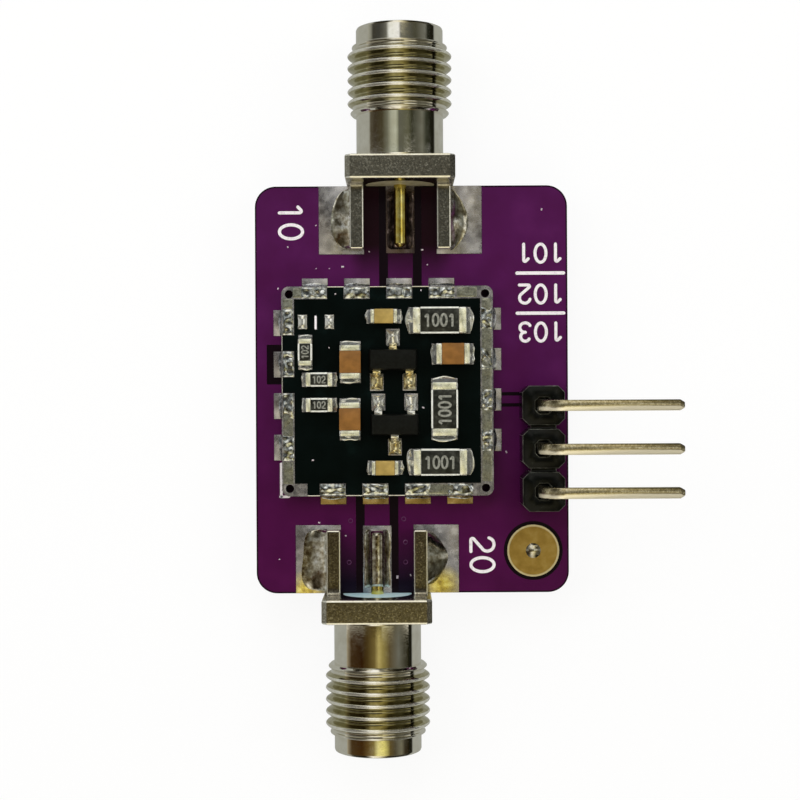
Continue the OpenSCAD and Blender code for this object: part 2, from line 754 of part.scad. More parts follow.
// Tinned track round the module's rim, broken beside the signal pads and the lone pad
module module_rim_track() {
    color(copper) on_module(z = module_top) difference() {
        linear_extrude(land_t) difference() {
            round_rect(module_w, module_l, module_r);
            square([module_w - 2 * rim_w, module_l - 2 * rim_w], center = true);
            rim_breaks();
        }
        peg_holes();
    }
}
module rim_breaks() {
    half = pad_w / 2;
    for (k = [0 : side_pads - 2])
        rim_break_x(upper_pads[k] + half, upper_pads[k + 1] - half, module_l / 2);
    rim_break_x(-module_w / 2 + 2 * rim_w, lower_pads[0] - half, -module_l / 2);
    for (k = [0 : signal_lower]) {
        rim_break_x(lower_pads[k] + half, lower_pads[k + 1] - half, -module_l / 2);
        rim_break_y(left_pads[k + 1] + half, left_pads[k] - half);
    }
}
// A break in the upper or lower rim from x1 to x2, and one in the left rim from y1 to y2
module rim_break_x(x1, x2, y)
    translate([x1, y - rim_w - past]) square([x2 - x1, 2 * (rim_w + past)]);
module rim_break_y(y1, y2)
    translate([-module_w / 2 - past, y1]) square([rim_w + 2 * past, y2 - y1]);

// Solder that climbs the module's edge at each of its sixteen pads
module module_solder() {
    color("Gainsboro") on_module(z = module_z) {
        for (x = upper_pads)
            translate([x, module_l / 2, 0]) rotate(90) fillet(joint_w, joint_h, pad_w);
        for (x = lower_pads)
            translate([x, -module_l / 2, 0]) rotate(-90) fillet(joint_w, joint_h, pad_w);
        for (y = left_pads)
            translate([-module_w / 2, y, 0]) rotate(180) fillet(joint_w, joint_h, pad_w);
        for (y = right_pads)
            translate([module_w / 2, y, 0]) fillet(joint_w, joint_h, right_pad_w);
    }
}

// Chip pieces, drawn along X on z = 0
module chip_body(l, w, h, end) plate(l - 2 * end, w, h);
module chip_ends(l, w, h, end)
    for (side = [-1, 1]) translate([side * (l - end) / 2, 0, 0]) plate(end, w, h);
module chip_fillets(l, w) for (turn = [0, 180])
    rotate(turn) translate([l / 2, 0, 0]) fillet(toe, toe_h, w);
module chip_footprint(l, w, end)
    for (side = [-1, 1]) translate([side * (l + toe - end) / 2, 0, -land_t]) plate(end + toe, w, land_t);
module coat(l, w, end) plate(l - 2 * end, w - 2 * coat_margin, coat_t);

load_places = [[load_1_at, 0], [load_2_at, 90], [load_3_at, 0]];
bias_places = [[bias_1_at, 90], [bias_2_at, 0], [bias_3_at, 0]];
bypass_places = [[bypass_1_at, 90], [bypass_2_at, 90], [bypass_3_at, 0]];
coupling_places = [[coupling_1_at, 0], [coupling_2_at, 0]];
module at_each(places) for (p = places) on_module(p[0], chip_z, p[1]) children();

module load_resistor(k)
    color(ceramic) on_module(load_places[k][0], chip_z, load_places[k][1])
        chip_body(load_l, load_w, load_h, load_end);
module upper_load_resistor() load_resistor(0);
module right_load_resistor() load_resistor(1);
module lower_load_resistor() load_resistor(2);
module load_resistor_ends()
    color(copper) at_each(load_places) chip_ends(load_l, load_w, load_h, load_end);

module bias_resistor(k)
    color(ceramic) on_module(bias_places[k][0], chip_z, bias_places[k][1])
        chip_body(bias_l, bias_w, bias_h, bias_end);
module upper_bias_resistor() bias_resistor(0);
module middle_bias_resistor() bias_resistor(1);
module lower_bias_resistor() bias_resistor(2);
module bias_resistor_ends()
    color(copper) at_each(bias_places) chip_ends(bias_l, bias_w, bias_h, bias_end);

// Dark overcoats on the six resistors
module resistor_coats() color("#26262b") {
    at_each(load_places) translate([0, 0, load_h]) coat(load_l, load_w, load_end);
    at_each(bias_places) translate([0, 0, bias_h]) coat(bias_l, bias_w, bias_end);
}

module bypass_capacitor(k)
    color("Peru") on_module(bypass_places[k][0], chip_z, bypass_places[k][1])
        chip_body(bypass_l, bypass_w, bypass_h, bypass_end);
module upper_bypass_capacitor() bypass_capacitor(0);
module lower_bypass_capacitor() bypass_capacitor(1);
module right_bypass_capacitor() bypass_capacitor(2);
module bypass_capacitor_ends()
    color(copper) at_each(bypass_places) chip_ends(bypass_l, bypass_w, bypass_h, bypass_end);

module coupling_capacitor(k)
    color("BurlyWood") on_module(coupling_places[k][0], chip_z, coupling_places[k][1])
        chip_body(coupling_l, coupling_w, coupling_h, coupling_end);
module upper_coupling_capacitor() coupling_capacitor(0);
module lower_coupling_capacitor() coupling_capacitor(1);
module coupling_capacitor_ends()
    color(copper) at_each(coupling_places) chip_ends(coupling_l, coupling_w, coupling_h, coupling_end);

// Diodes: a drafted body over three bent leads, with the single lead on the +Y side
module diode_body() translate([0, 0, diode_lift]) drafted_block(diode_l, diode_w, diode_h, diode_inset);
lead_places = [[0, 0], [-lead_pitch / 2, 180], [lead_pitch / 2, 180]];
module at_leads() for (p = lead_places) translate([p[0], 0, 0]) rotate(p[1]) children();
module diode_leads() at_leads() gull_lead();
// A lead leaves the body's side, turns down and ends in a flat foot
module gull_lead() {
    side = diode_w / 2 - diode_inset * (lead_z - diode_lift) / diode_h;
    side_low = diode_w / 2 - diode_inset * (lead_z - lead_t - diode_lift) / diode_h;
    knee = diode_w / 2 + lead_reach / 3;
    tip = diode_w / 2 + lead_reach;
    rotate([90, 0, 90]) translate([0, 0, -lead_w / 2]) linear_extrude(lead_w) polygon([
        [side, lead_z], [knee - lead_t / 2, lead_z], [knee + lead_t, lead_t], [tip, lead_t], [tip, 0],
        [knee, 0], [knee - lead_t, lead_z - lead_t], [side_low, lead_z - lead_t]
    ]);
}
module diode_lands() at_leads()
    translate([0, diode_w / 2 + lead_reach / 3 + lead_land_l / 2, -land_t])
        plate(lead_land_w, lead_land_l, land_t);
module at_diode_1() on_module(diode_1_at, chip_z) children();
module at_diode_2() on_module(diode_2_at, chip_z, 180) children();
module upper_diode_body() color("#1c1c1e") at_diode_1() diode_body();
module upper_diode_leads() color(copper) at_diode_1() diode_leads();
module lower_diode_body() color("#1c1c1e") at_diode_2() diode_body();
module lower_diode_leads() color(copper) at_diode_2() diode_leads();

// Tinned lands on the module that the chips are soldered to, with one footprint left unused
module chip_lands() {
    color(copper) {
        at_each(load_places) chip_footprint(load_l, load_w, load_end);
        at_each(bias_places) chip_footprint(bias_l, bias_w, bias_end);
        at_each(bypass_places) chip_footprint(bypass_l, bypass_w, bypass_end);
        at_each(coupling_places) chip_footprint(coupling_l, coupling_w, coupling_end);
        at_diode_1() diode_lands();
        at_diode_2() diode_lands();
        for (side = [-1, 1]) on_module(spare_at, module_top)
            translate([side * spare_pitch / 2, 0, 0]) plate(spare_land_w, spare_land_l, land_t);
    }
}

// Solder on the ends of the eleven chips
module chip_solder() {
    color("Gainsboro") {
        at_each(load_places) chip_fillets(load_l, load_w);
        at_each(bias_places) chip_fillets(bias_l, bias_w);
        at_each(bypass_places) chip_fillets(bypass_l, bypass_w);
        at_each(coupling_places) chip_fillets(coupling_l, coupling_w);
    }
}

carrier_board();
ground_lands();
signal_lands();
module_lands();
header_lands();
round_pad();
round_pad_solder();
input_jack_shell();
input_jack_insulator();
input_jack_contact();
input_jack_solder();
output_jack_shell();
output_jack_insulator();
output_jack_contact();
output_jack_solder();
header_housing();
header_pin_1();
header_pin_2();
header_pin_3();
header_solder();
module_board();
module_edge_plating();
module_rim_track();
module_solder();
chip_lands();
chip_solder();
upper_load_resistor();
right_load_resistor();
lower_load_resistor();
load_resistor_ends();
upper_bias_resistor();
middle_bias_resistor();
lower_bias_resistor();
bias_resistor_ends();
resistor_coats();
upper_bypass_capacitor();
lower_bypass_capacitor();
right_bypass_capacitor();
bypass_capacitor_ends();
upper_coupling_capacitor();
lower_coupling_capacitor();
coupling_capacitor_ends();
upper_diode_body();
upper_diode_leads();
lower_diode_body();
lower_diode_leads();
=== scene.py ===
# %% [markdown]
# # Looks of a radio frequency attenuator module
# The solids come from the CAD model and stay where they are. This notebook gives them finishes, adds what
# a soldering iron and a screen printer leave behind, and lights the board the way a small product is
# usually photographed: from straight above, on white.

import math

import bmesh
import bpy
import mathutils
import numpy as np
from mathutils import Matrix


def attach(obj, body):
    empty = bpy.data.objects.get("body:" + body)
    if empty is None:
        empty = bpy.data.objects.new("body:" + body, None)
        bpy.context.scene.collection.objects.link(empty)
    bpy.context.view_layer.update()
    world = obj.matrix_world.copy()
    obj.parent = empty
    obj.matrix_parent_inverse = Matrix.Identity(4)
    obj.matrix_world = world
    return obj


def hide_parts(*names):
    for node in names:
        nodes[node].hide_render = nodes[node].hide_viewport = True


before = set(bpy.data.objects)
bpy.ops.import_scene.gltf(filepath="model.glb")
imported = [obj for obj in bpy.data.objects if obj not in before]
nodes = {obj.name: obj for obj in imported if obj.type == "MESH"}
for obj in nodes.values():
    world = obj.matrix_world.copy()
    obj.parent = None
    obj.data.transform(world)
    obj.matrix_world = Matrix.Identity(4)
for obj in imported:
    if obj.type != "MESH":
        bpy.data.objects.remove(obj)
scene = bpy.context.scene
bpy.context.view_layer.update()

# %% [markdown]
# ## Sizes that the pieces share
# Every added piece sits on a CAD solid, so the places come from the same sizes as the solids. They are
# written in millimetres and turned to metres in one place.

# %% Shared sizes, in millimetres
MM = 0.001
BOARD_W, BOARD_L, BOARD_T, BOARD_X, BOARD_R = 18.8, 24.5, 1.6, -3.17, 1.25
TOP = 2.795
LAND = 0.05
MODULE_X, MODULE_Y, MODULE_W, MODULE_L = -4.63, -0.10, 12.6, 12.5
MODULE_TOP = TOP + LAND + 1.0
CHIP_BASE = MODULE_TOP + LAND
INPUT_X, OUTPUT_X, AXIS_Z = -3.82, -5.30, 3.225
UNDER = TOP - BOARD_T
PAD_AT, PAD_R = (4.09, -9.745, TOP + LAND), 1.565
print("module top at", MODULE_TOP, "mm, chips stand at", CHIP_BASE, "mm")

# %% [markdown]
# ## Camera
# The photograph looks straight down from about a hand's width above the board, so the sides of tall parts
# lean outwards from the middle. A 75 mm lens at 100 mm gives that same lean.

# %% Camera
CAMERA_AT = (-3.887, -0.639, TOP + 99.98)
CAMERA_TURN = -0.3
camera_data = bpy.data.cameras.new("camera")
camera_data.lens = 74.7
camera_data.sensor_width = 36
camera_data.clip_start, camera_data.clip_end = 0.001, 10
camera = bpy.data.objects.new("camera", camera_data)
camera.location = [value * MM for value in CAMERA_AT]
camera.rotation_euler = (0, 0, math.radians(CAMERA_TURN))
scene.collection.objects.link(camera)
scene.camera = camera
scene.view_settings.view_transform = "Standard"
print("camera at", CAMERA_AT, "mm")

# %% [markdown]
# ## Helpers for materials
# Colours are written as they look on a screen and turned to linear light by one function. One function adds
# a shader node with its settings and links. Some inputs go by number: a Mix has its share at 0 and its two
# colours at 6 and 7, and a MapRange has its value at 0 and the ends of its range at 1 and 2.


# %% Material helpers
def linear(code):
    """sRGB hex to linear RGBA: each channel is c / 12.92 below 0.04045, else ((c + 0.055) / 1.055) ^ 2.4."""
    channels = [int(code[i : i + 2], 16) / 255 for i in (1, 3, 5)]
    return [c / 12.92 if c <= 0.04045 else ((c + 0.055) / 1.055) ** 2.4 for c in channels] + [1.0]


def feed(node, inputs):
    """Fill a node's inputs. Each is a number, a hex colour, a socket to link, or a node, whose first live
    output is linked."""
    for socket, value in inputs.items():
        if isinstance(value, bpy.types.Node):
            value = next(output for output in value.outputs if output.enabled)
        if isinstance(value, bpy.types.NodeSocket):
            node.id_data.links.new(value, node.inputs[socket])
        else:
            node.inputs[socket].default_value = linear(value) if isinstance(value, str) else value
    return node


def add(tree, kind, inputs=None, stops=None, **settings):
    """Add a node with its settings and inputs. A colour ramp also takes its stops: colours, or numbers, by
    their places from 0 to 1."""
    made = tree.nodes.new("ShaderNode" + kind)
    for key, value in settings.items():
        setattr(made, key, value)
    if stops:
        elements = made.color_ramp.elements
        while len(elements) < len(stops):
            elements.new(0.5)
        for element, (place, colour) in zip(elements, stops.items()):
            element.position = place
            element.color = linear(colour) if isinstance(colour, str) else [colour] * 3 + [1]
    return feed(made, inputs or {})


def blank(name):
    """A new material; returns it, its tree and its Principled shader."""
    material = bpy.data.materials.new(name)
    material.use_nodes = True
    return material, material.node_tree, material.node_tree.nodes["Principled BSDF"]


def along(tree, what="Object"):
    """X, Y and Z of the place on a piece, or with "Normal" of the way that its surface faces."""
    return add(tree, "SeparateXYZ", {0: add(tree, "TexCoord").outputs[what]}).outputs


def clouds(tree, size_mm, detail):
    """Noise with patches of a size in millimetres."""
    where = add(tree, "TexCoord").outputs["Object"]
    return add(tree, "TexNoise", {"Vector": where, "Scale": 1 / (size_mm * MM), "Detail": detail})


def patches(tree, size_mm, stops, detail=3.0):
    """Colours, or numbers, that wander between stops over patches of a size in millimetres."""
    return add(tree, "ValToRGB", {"Fac": clouds(tree, size_mm, detail)}, stops)


def relief(tree, size_mm, height_mm, detail):
    """Unevenness of a patch size and height in millimetres, for a shader's normal."""
    return add(tree, "Bump", {"Height": clouds(tree, size_mm, detail), "Distance": height_mm * MM})


def within(tree, *limits):
    """Share from 0 to 1 of how far a place lies inside all limits. Each limit is a length, where the share
    starts to rise and where it is full, in millimetres."""
    share = 1.0
    for length, start, full in limits:
        part = add(tree, "MapRange", {0: length, 1: start * MM, 2: full * MM})
        share = add(tree, "Math", {0: share, 1: part}, operation="MULTIPLY")
    return share


def near(tree, spot, far, full):
    """Share from 0 to 1 of how near a place is to a spot: 0 this far from it, full this close to it."""
    where = add(tree, "TexCoord").outputs["Object"]
    apart = {0: where, 1: [value * MM for value in spot]}
    return within(tree, (add(tree, "VectorMath", apart, operation="DISTANCE"), far, full))


# %% [markdown]
# ## Plastics, ceramics and masks
# Each finish starts from the real material and how its surface was made. These scatter light below their
# skin, so tone and sheen make the look. One function gives both; the carrier's mask works out its own tone,
# painted shade included.


# %% Plastics, ceramics and masks
def plain(name, size_mm, hues, rough, bump_mm, bump_size=0.1, shine=0.5, detail=4):
    """A material without metal: its tone wanders over patches, its surface carries a fine relief. The hues
    are stops, or a function that makes the tone."""
    material, tree, shader = blank(name)
    feed(shader, {
        "Base Color": hues(tree, size_mm) if callable(hues) else patches(tree, size_mm, hues, detail),
        "Roughness": rough, "Specular IOR Level": shine,
        "Normal": relief(tree, bump_size, bump_mm, detail - 1),
    })
    return material


def mask_tone(tree, size_mm):
    """Violet over copper and near black in the bare gaps. Painted shade darkens the mask between each jack's
    legs, and a painted dark line runs just inside the sawn edge. The board's sides show sawn glass epoxy."""
    place = along(tree)
    violet = patches(tree, size_mm, {0.3: "#460d41", 0.55: "#4c124a", 0.75: "#541852"})
    wine = patches(tree, size_mm, {0.3: "#410638", 0.55: "#47093e", 0.75: "#4e0e44"})
    south = within(tree, (place["Y"], 3, -7))
    film = add(tree, "Mix", {0: south, 6: violet, 7: wine}, data_type="RGBA")
    # Painted shade between each jack's legs, darkest towards its flange: each patch's middle, where it starts
    # and is full along the board, and its tone.
    edge, core = 3.1, 2.2
    for middle, start, full, tone in ((INPUT_X, 6.3, 8.7, "#1c0310"), (OUTPUT_X, -8.4, -11.6, "#120a1c")):
        left = (place["X"], middle - edge, middle - core)
        right = (place["X"], middle + edge, middle + core)
        inside = within(tree, left, right, (place["Y"], start, full))
        film = add(tree, "Mix", {0: inside, 6: film, 7: tone}, data_type="RGBA")
    # Painted shade: a dark line a hair inside the sawn edge, where the edge of the board falls into shade.
    # The distance from the rectangle through the middles of the board's corners tells how near that is.
    # Taking more than the board's height off Z leaves it out.
    apart = add(tree, "TexCoord").outputs["Object"]
    for operation, other in (
        ("SUBTRACT", (BOARD_X, 0, 0)), ("ABSOLUTE", (0, 0, 0)),
        ("SUBTRACT", (BOARD_W / 2 - BOARD_R, BOARD_L / 2 - BOARD_R, 10)), ("MAXIMUM", (0, 0, 0)),
    ):
        step = {0: apart, 1: [value * MM for value in other]}
        apart = add(tree, "VectorMath", step, operation=operation)
    apart = add(tree, "VectorMath", {0: apart}, operation="LENGTH")
    rim = within(tree, (apart, BOARD_R - 0.13, BOARD_R - 0.05))
    film = add(tree, "Mix", {0: rim, 6: film, 7: "#0c0209"}, data_type="RGBA")
    # The gaps lie 0.02 mm below the film, on the bare board.
    over_copper = within(tree, (place["Z"], TOP - 0.02, TOP - 0.012))
    top = add(tree, "Mix", {0: over_copper, 6: "#0d020b", 7: film}, data_type="RGBA")
    # Faces that look up or down carry the film, the others are sawn.
    up = along(tree, "Normal")["Z"]
    level = add(tree, "MapRange", {0: up, 1: 0.45, 2: 0.55})
    under = add(tree, "MapRange", {0: up, 1: -0.45, 2: -0.55})
    sawn = patches(tree, 0.2, {0.35: "#2a1422", 0.65: "#4a2f38"})
    sides = add(tree, "Mix", {0: level, 6: sawn, 7: top}, data_type="RGBA")
    return add(tree, "Mix", {0: under, 6: sides, 7: wine}, data_type="RGBA")


# Cured liquid photo-imaged solder mask on glass epoxy is a glossy film.
purple_mask = plain("purple_solder_mask", 2.6, mask_tone, 0.3, 0.004, 0.45, 0.14, 3)
# The module's mask is nearly black with a green cast, and has a soft sheen.
black_mask = plain(
    "black_solder_mask", 1.6, {0.3: "#020706", 0.6: "#040b0a", 0.8: "#0a1716"}, 0.34, 0.004, 0.5, 0.05, 3
)
# PTFE is cut from rod and scatters light inside, so it looks milky. The two insulators are lit and shaded
# copies of it: the output one carries a painted bluish sky reflection and more light, the input one painted
# shade and a painted warm reflection.
fluoropolymer = plain("turned_fluoropolymer_painted_cool_light", 0.5, {0.3: "#c4ecf4", 0.7: "#eafdff"}, 0.4, 0.004)
shaded_fluoropolymer = plain("fluoropolymer_painted_shade_and_warm_reflection", 0.5, {0.3: "#b4ac8c", 0.7: "#d4ccb0"}, 0.4, 0.004)
# Nylon housings are moulded with a fine matt skin. Their rounded edges get a lighter grey nylon as a painted
# highlight.
nylon = plain(
    "moulded_nylon", 0.3, {0.3: "#020303", 0.62: "#070908", 0.8: "#1c1e1a"}, 0.24, 0.006, 0.25, 0.18
)
nylon_edge_highlight = plain("nylon_painted_edge_highlight", 0.4, {0.35: "#171915", 0.6: "#4c4d46", 0.75: "#84857c"}, 0.3, 0.004)
# Alumina chips are pressed and fired: off-white and matt.
alumina = plain("fired_alumina", 0.2, {0.3: "#d9d9cf", 0.7: "#f4f4ee"}, 0.6, 0.003)
# The overcoat is a fired glass paste: black with a grey bloom.
overcoat = plain(
    "glass_overcoat", 0.3, {0.35: "#12130f", 0.55: "#262722", 0.75: "#45453f"}, 0.3, 0.004, shine=0.25
)
# Barium titanate chips are fired brown or tan and keep a smooth skin.
brown_ceramic = plain("brown_titanate", 0.5, {0.3: "#785023", 0.7: "#956630"}, 0.42, 0.003, shine=0.3)
tan_ceramic = plain("tan_titanate", 0.5, {0.3: "#9d8447", 0.7: "#bda059"}, 0.42, 0.003, shine=0.3)
# Epoxy bodies are moulded over the chip with silica filler, which leaves them matt black.
epoxy = plain("moulded_epoxy", 0.15, {0.3: "#040504", 0.7: "#0e100e"}, 0.5, 0.006, shine=0.2)
# Printing ink lies on the mask as a thin matt film.
white_ink = plain("screen_ink", 0.12, {0.25: "#d9cdd6", 0.5: "#f4eef2"}, 0.55, 0.004)
grey_mark = plain("laser_mark", 0.08, {0.3: "#6a6a62", 0.7: "#a3a399"}, 0.6, 0.003)
# A via's ring stands up under the mask; its lighter tone is a painted highlight.
via_ring_highlight = plain(
    "via_ring_painted_highlight", 0.3, {0.35: "#42103f", 0.6: "#5e2c5a", 0.75: "#8a6086"}, 0.35, 0.002
)
# House dust and lint from the cloth that wiped the board.
lint = plain("pale_dust", 0.1, {0.3: "#b9a9b4", 0.7: "#ece2e8"}, 0.8, 0.01)

# %% [markdown]
# ## Metals
# Metals keep their own colour and take most of their look from the room, so their roughness and dents
# matter more than their paint.


# %% Metals
def metal(name, tone_mm, hues, gloss_mm, rough, bump_mm, height_mm, share=1.0):
    """A metal whose tone and roughness wander over patches, with a relief. Hues are as for plain."""
    material, tree, shader = blank(name)
    feed(shader, {
        "Base Color": hues(tree, tone_mm) if callable(hues) else patches(tree, tone_mm, hues, 4),
        "Roughness": patches(tree, gloss_mm, {0.35: rough[0], 0.7: rough[1]}, 4),
        "Metallic": share, "Normal": relief(tree, bump_mm, height_mm, 3),
    })
    return material


def levelled_tone(tree, size_mm):
    """Cool grey tin. Flux has stained the pads below the module brown and two spots by the output jack amber;
    the input's signal land is darkened as painted shade."""
    _, north, height = along(tree)
    tone = patches(tree, size_mm, {0.3: "#868488", 0.5: "#a4a2a6", 0.7: "#c8c6ca"}, 4)
    brown = patches(tree, size_mm, {0.3: "#7c6434", 0.5: "#98804c", 0.7: "#bba878"}, 4)
    low = within(tree, (north, -5.4, -6.4), (north, -7.9, -7.4), (height, TOP + 0.6, TOP + 0.3))
    tone = add(tree, "Mix", {0: low, 6: tone, 7: brown}, data_type="RGBA")
    amber = patches(tree, 0.3, {0.3: "#a8924e", 0.5: "#e0cc66", 0.65: "#fff294"}, 4)
    # Two amber flux stains, then painted shade over the input's signal land.
    for x, y, far, full, stain_and_shade in (
        (-9.6, -12.1, 1.3, 0.3, amber), (-1.4, -11.8, 1.3, 0.3, amber), (INPUT_X, 9.9, 2.6, 2.2, "#5c504c"),
    ):
        share = near(tree, (x, y, TOP + LAND), far, full)
        tone = add(tree, "Mix", {0: share, 6: tone, 7: stain_and_shade}, data_type="RGBA")
    return tone


def gilt_tone(tree, size_mm):
    """Gold with a pale line round the pad's rim, where the plating builds up."""
    inside = near(tree, PAD_AT, PAD_R - 0.09, PAD_R - 0.14)
    gold = patches(tree, size_mm, {0.25: "#b49450", 0.5: "#c8a75e", 0.75: "#d6ba74"}, 4)
    return add(tree, "Mix", {0: inside, 6: "#fff4d4", 7: gold}, data_type="RGBA")


def gilt_pin():
    """Thin gold on drawn square wire, sandy on top. The bevel on its lower side carries a painted highlight:
    near white, less metallic and smoother."""
    material, tree, shader = blank("gilt_pin")
    low = add(tree, "MapRange", {0: along(tree, "Normal")["Y"], 1: -0.04, 2: -0.16})
    top = patches(tree, 0.12, {0.3: "#aa9e78", 0.5: "#c8bd9e", 0.7: "#eae2ca"}, 4)
    feed(shader, {
        "Base Color": add(tree, "Mix", {0: low, 6: top, 7: "#fff6dc"}, data_type="RGBA"),
        "Metallic": add(tree, "MapRange", {0: low, "To Min": 1.0, "To Max": 0.4}),
        "Roughness": add(tree, "MapRange", {0: low, "To Min": 0.26, "To Max": 0.12}),
        "Normal": relief(tree, 0.08, 0.002, 3),
    })
    return material


# Hot air levelled copper: tin that froze in shallow waves.
tin = metal("hot_air_levelled_tin", 0.5, levelled_tone, 0.25, (0.2, 0.36), 0.2, 0.002, 0.8)
# Gold flash over nickel: thin and dull with a fine grain.
gilt_pad = metal("gilt_pad", 0.5, gilt_tone, 0.15, (0.3, 0.42), 0.08, 0.0012)
# Hand solder as it froze: bright, with soft dents and duller grains.
frozen = metal(
    "frozen_solder", 0.3, {0.3: "#8e806a", 0.45: "#c2bcac", 0.58: "#e8e6de", 0.7: "#ffffff"},
    0.2, (0.1, 0.26), 0.4, 0.005,
)
# Nickel on turned brass: polished by the tool, so it mirrors the room in bands along nose and thread.
turned = metal(
    "turned_nickel", 0.8, {0.3: "#e6e2d6", 0.55: "#eeebe2", 0.75: "#f4f2ea"},
    0.3, (0.05, 0.1), 0.2, 0.0006,
)
# The barrel between flange and thread keeps the tool's finer marks, so its bands are speckled.
tooled = metal(
    "tooled_nickel", 0.8, {0.3: "#e2ded2", 0.55: "#ece9e0", 0.75: "#f4f2ea"},
    0.3, (0.03, 0.07), 0.11, 0.0004,
)
# Nuts have rubbed the thread's crests, and hands the milled edges: slightly brushed. Their bright tone and
# small diffuse share are also a painted highlight along those edges and crests.
rubbed_and_highlit = metal(
    "rubbed_edge_painted_highlight", 0.3, {0.3: "#eae6dc", 0.55: "#f4f2ea", 0.75: "#fcfbf6"},
    0.2, (0.1, 0.18), 0.1, 0.0006, 0.86,
)
# Painted shade and painted warm reflection: the thread's grooves get a darker, warmer nickel than the nose,
# for the dark valleys and yellow glints between its ridges.
groove = metal(
    "groove_painted_shade_and_warm_reflection", 0.3, {0.3: "#aca684", 0.55: "#bcb694", 0.75: "#ccc8ac"},
    0.2, (0.06, 0.12), 0.1, 0.0008,
)
# Nickel on milled brass: the cutter left a fine grain, so flat faces look dull and speckled.
milled = metal(
    "milled_nickel", 0.1, {0.35: "#8c887e", 0.55: "#a4a096", 0.7: "#dad7ce"},
    0.12, (0.13, 0.22), 0.07, 0.0003,
)
# The contacts are gilt and were burnished by the soldering iron's tip.
gold_contact = metal(
    "gilt_contact", 0.5, {0.3: "#ccae3e", 0.5: "#e6d06c", 0.7: "#f6ea9c"},
    0.15, (0.08, 0.18), 0.3, 0.0015,
)
# Chip ends are barrel plated, which leaves the tin matt and pale.
chip_end = metal(
    "barrel_plated_end", 0.35, {0.3: "#d0cfb4", 0.5: "#ecebd2", 0.7: "#fdfdec"},
    0.3, (0.24, 0.34), 0.4, 0.001, 0.6,
)
# Reflowed paste at the module's pads froze fast: paler than hand solder, with a fine grain.
reflowed = metal(
    "reflowed_paste", 0.25, {0.38: "#7c8288", 0.5: "#bcc2c8", 0.6: "#f6faff"},
    0.2, (0.1, 0.3), 0.3, 0.003,
)
# Hot air left the strips between the joints flat, so they look evenly grey with a fine grain.
levelled = metal(
    "levelled_strip", 0.12, {0.3: "#8c8e84", 0.55: "#a8aaa0", 0.75: "#c8cac0"},
    0.2, (0.24, 0.34), 0.12, 0.0012, 0.9,
)
# A lead frame is plated before it is bent; hot gold-coloured flux stains some of its feet.
lead_tin = metal(
    "tinned_lead", 0.35, {0.3: "#d4d4cc", 0.5: "#f4f4ee", 0.65: "#ffffff"},
    0.3, (0.06, 0.14), 0.5, 0.001, 0.8,
)
lead_gold = metal(
    "stained_lead", 0.35, {0.3: "#ccb47c", 0.5: "#f4e6b4", 0.65: "#fffae2"},
    0.3, (0.06, 0.14), 0.5, 0.001, 0.86,
)
# Painted shade: the input contact's joint is darkened to a brown black with pinkish patches.
shaded_solder = metal(
    "solder_painted_shade", 0.4, {0.4: "#3a3230", 0.58: "#5c4e4a", 0.72: "#b8a4a0"},
    0.2, (0.1, 0.26), 0.4, 0.004, 0.9,
)

# %% [markdown]
# ## Finish and edges of each CAD node
# A sharp edge on a real piece is always a little round and catches the light. The nodes can't be remade, so
# modifiers round them: one joins the loose triangles, one bevels the edges.

# %% Give each CAD node its finish
# Words in a node's name, how far its edges are rounded in millimetres, and its finish; a second finish goes
# to the rounded edges. The last row that fits a name counts.
LOOKS = [
    ("carrier_board", 0, purple_mask), ("module_board", 0, black_mask),
    # The module's edge plating takes the rubbed finish with its painted highlight.
    ("_lands", 0.02, tin), ("header_lands", 0, tin), ("rim_track", 0, tin), ("edge_plating", 0.02, rubbed_and_highlit),
    ("round_pad", 0, gilt_pad), ("pad_solder", 0, frozen), ("header_solder", 0, frozen),
    ("input_jack_insulator", 0, shaded_fluoropolymer), ("output_jack_insulator", 0, fluoropolymer),
    ("jack_contact", 0, gold_contact), ("header_pin", 0.075, gilt_pin()),
    # The housing's rounded edges take the second finish, a painted highlight.
    ("header_housing", 0.04, nylon, nylon_edge_highlight),
    ("_resistor", 0.02, alumina), ("resistor_coats", 0.012, overcoat),
    ("bypass_capacitor", 0.02, brown_ceramic), ("coupling_capacitor", 0.02, tan_ceramic),
    ("load_resistor_ends", 0.09, chip_end, lead_tin), ("bias_resistor_ends", 0.06, chip_end, lead_tin),
    ("bypass_capacitor_ends", 0.08, chip_end, lead_tin),
    ("coupling_capacitor_ends", 0.07, chip_end, lead_tin),
    ("diode_body", 0.04, epoxy), ("upper_diode_leads", 0.02, lead_gold),
    ("lower_diode_leads", 0.02, lead_tin),
]
CREASE = math.radians(30)


def round_edges(piece, width_mm):
    """Round a CAD node's edges by modifiers alone: weld its loose triangles, then bevel with the flat faces'
    shading kept level, or only split for shading. The last finish goes to the rounded edges."""
    piece.data.polygons.foreach_set("use_smooth", [True] * len(piece.data.polygons))
    piece.modifiers.new("weld", "WELD").merge_threshold = 1e-6
    if width_mm:
        bevel = piece.modifiers.new("bevel", "BEVEL")
        bevel.width, bevel.segments, bevel.harden_normals = width_mm * MM, 2, True
        bevel.limit_method, bevel.angle_limit = "ANGLE", CREASE
        bevel.material = len(piece.data.materials) - 1
    else:
        piece.modifiers.new("split", "EDGE_SPLIT").split_angle = CREASE


look_of = {name: look for words, *look in LOOKS for name in nodes if words in name}
for name, (width_mm, *finishes) in look_of.items():
    slots = nodes[name].data.materials
    slots.clear()
    for finish in finishes:
        slots.append(finish)
    round_edges(nodes[name], width_mm)
print("materials:", len(bpy.data.materials), "nodes with a finish:", len(look_of))

# %% [markdown]
# ## Helpers for surfaces
# A new piece is a grid of points worked out by a formula, or a section carried along a path. Both become
# quads by numbering the grid. A smooth piece still keeps its creases where two faces meet at a sharp angle.


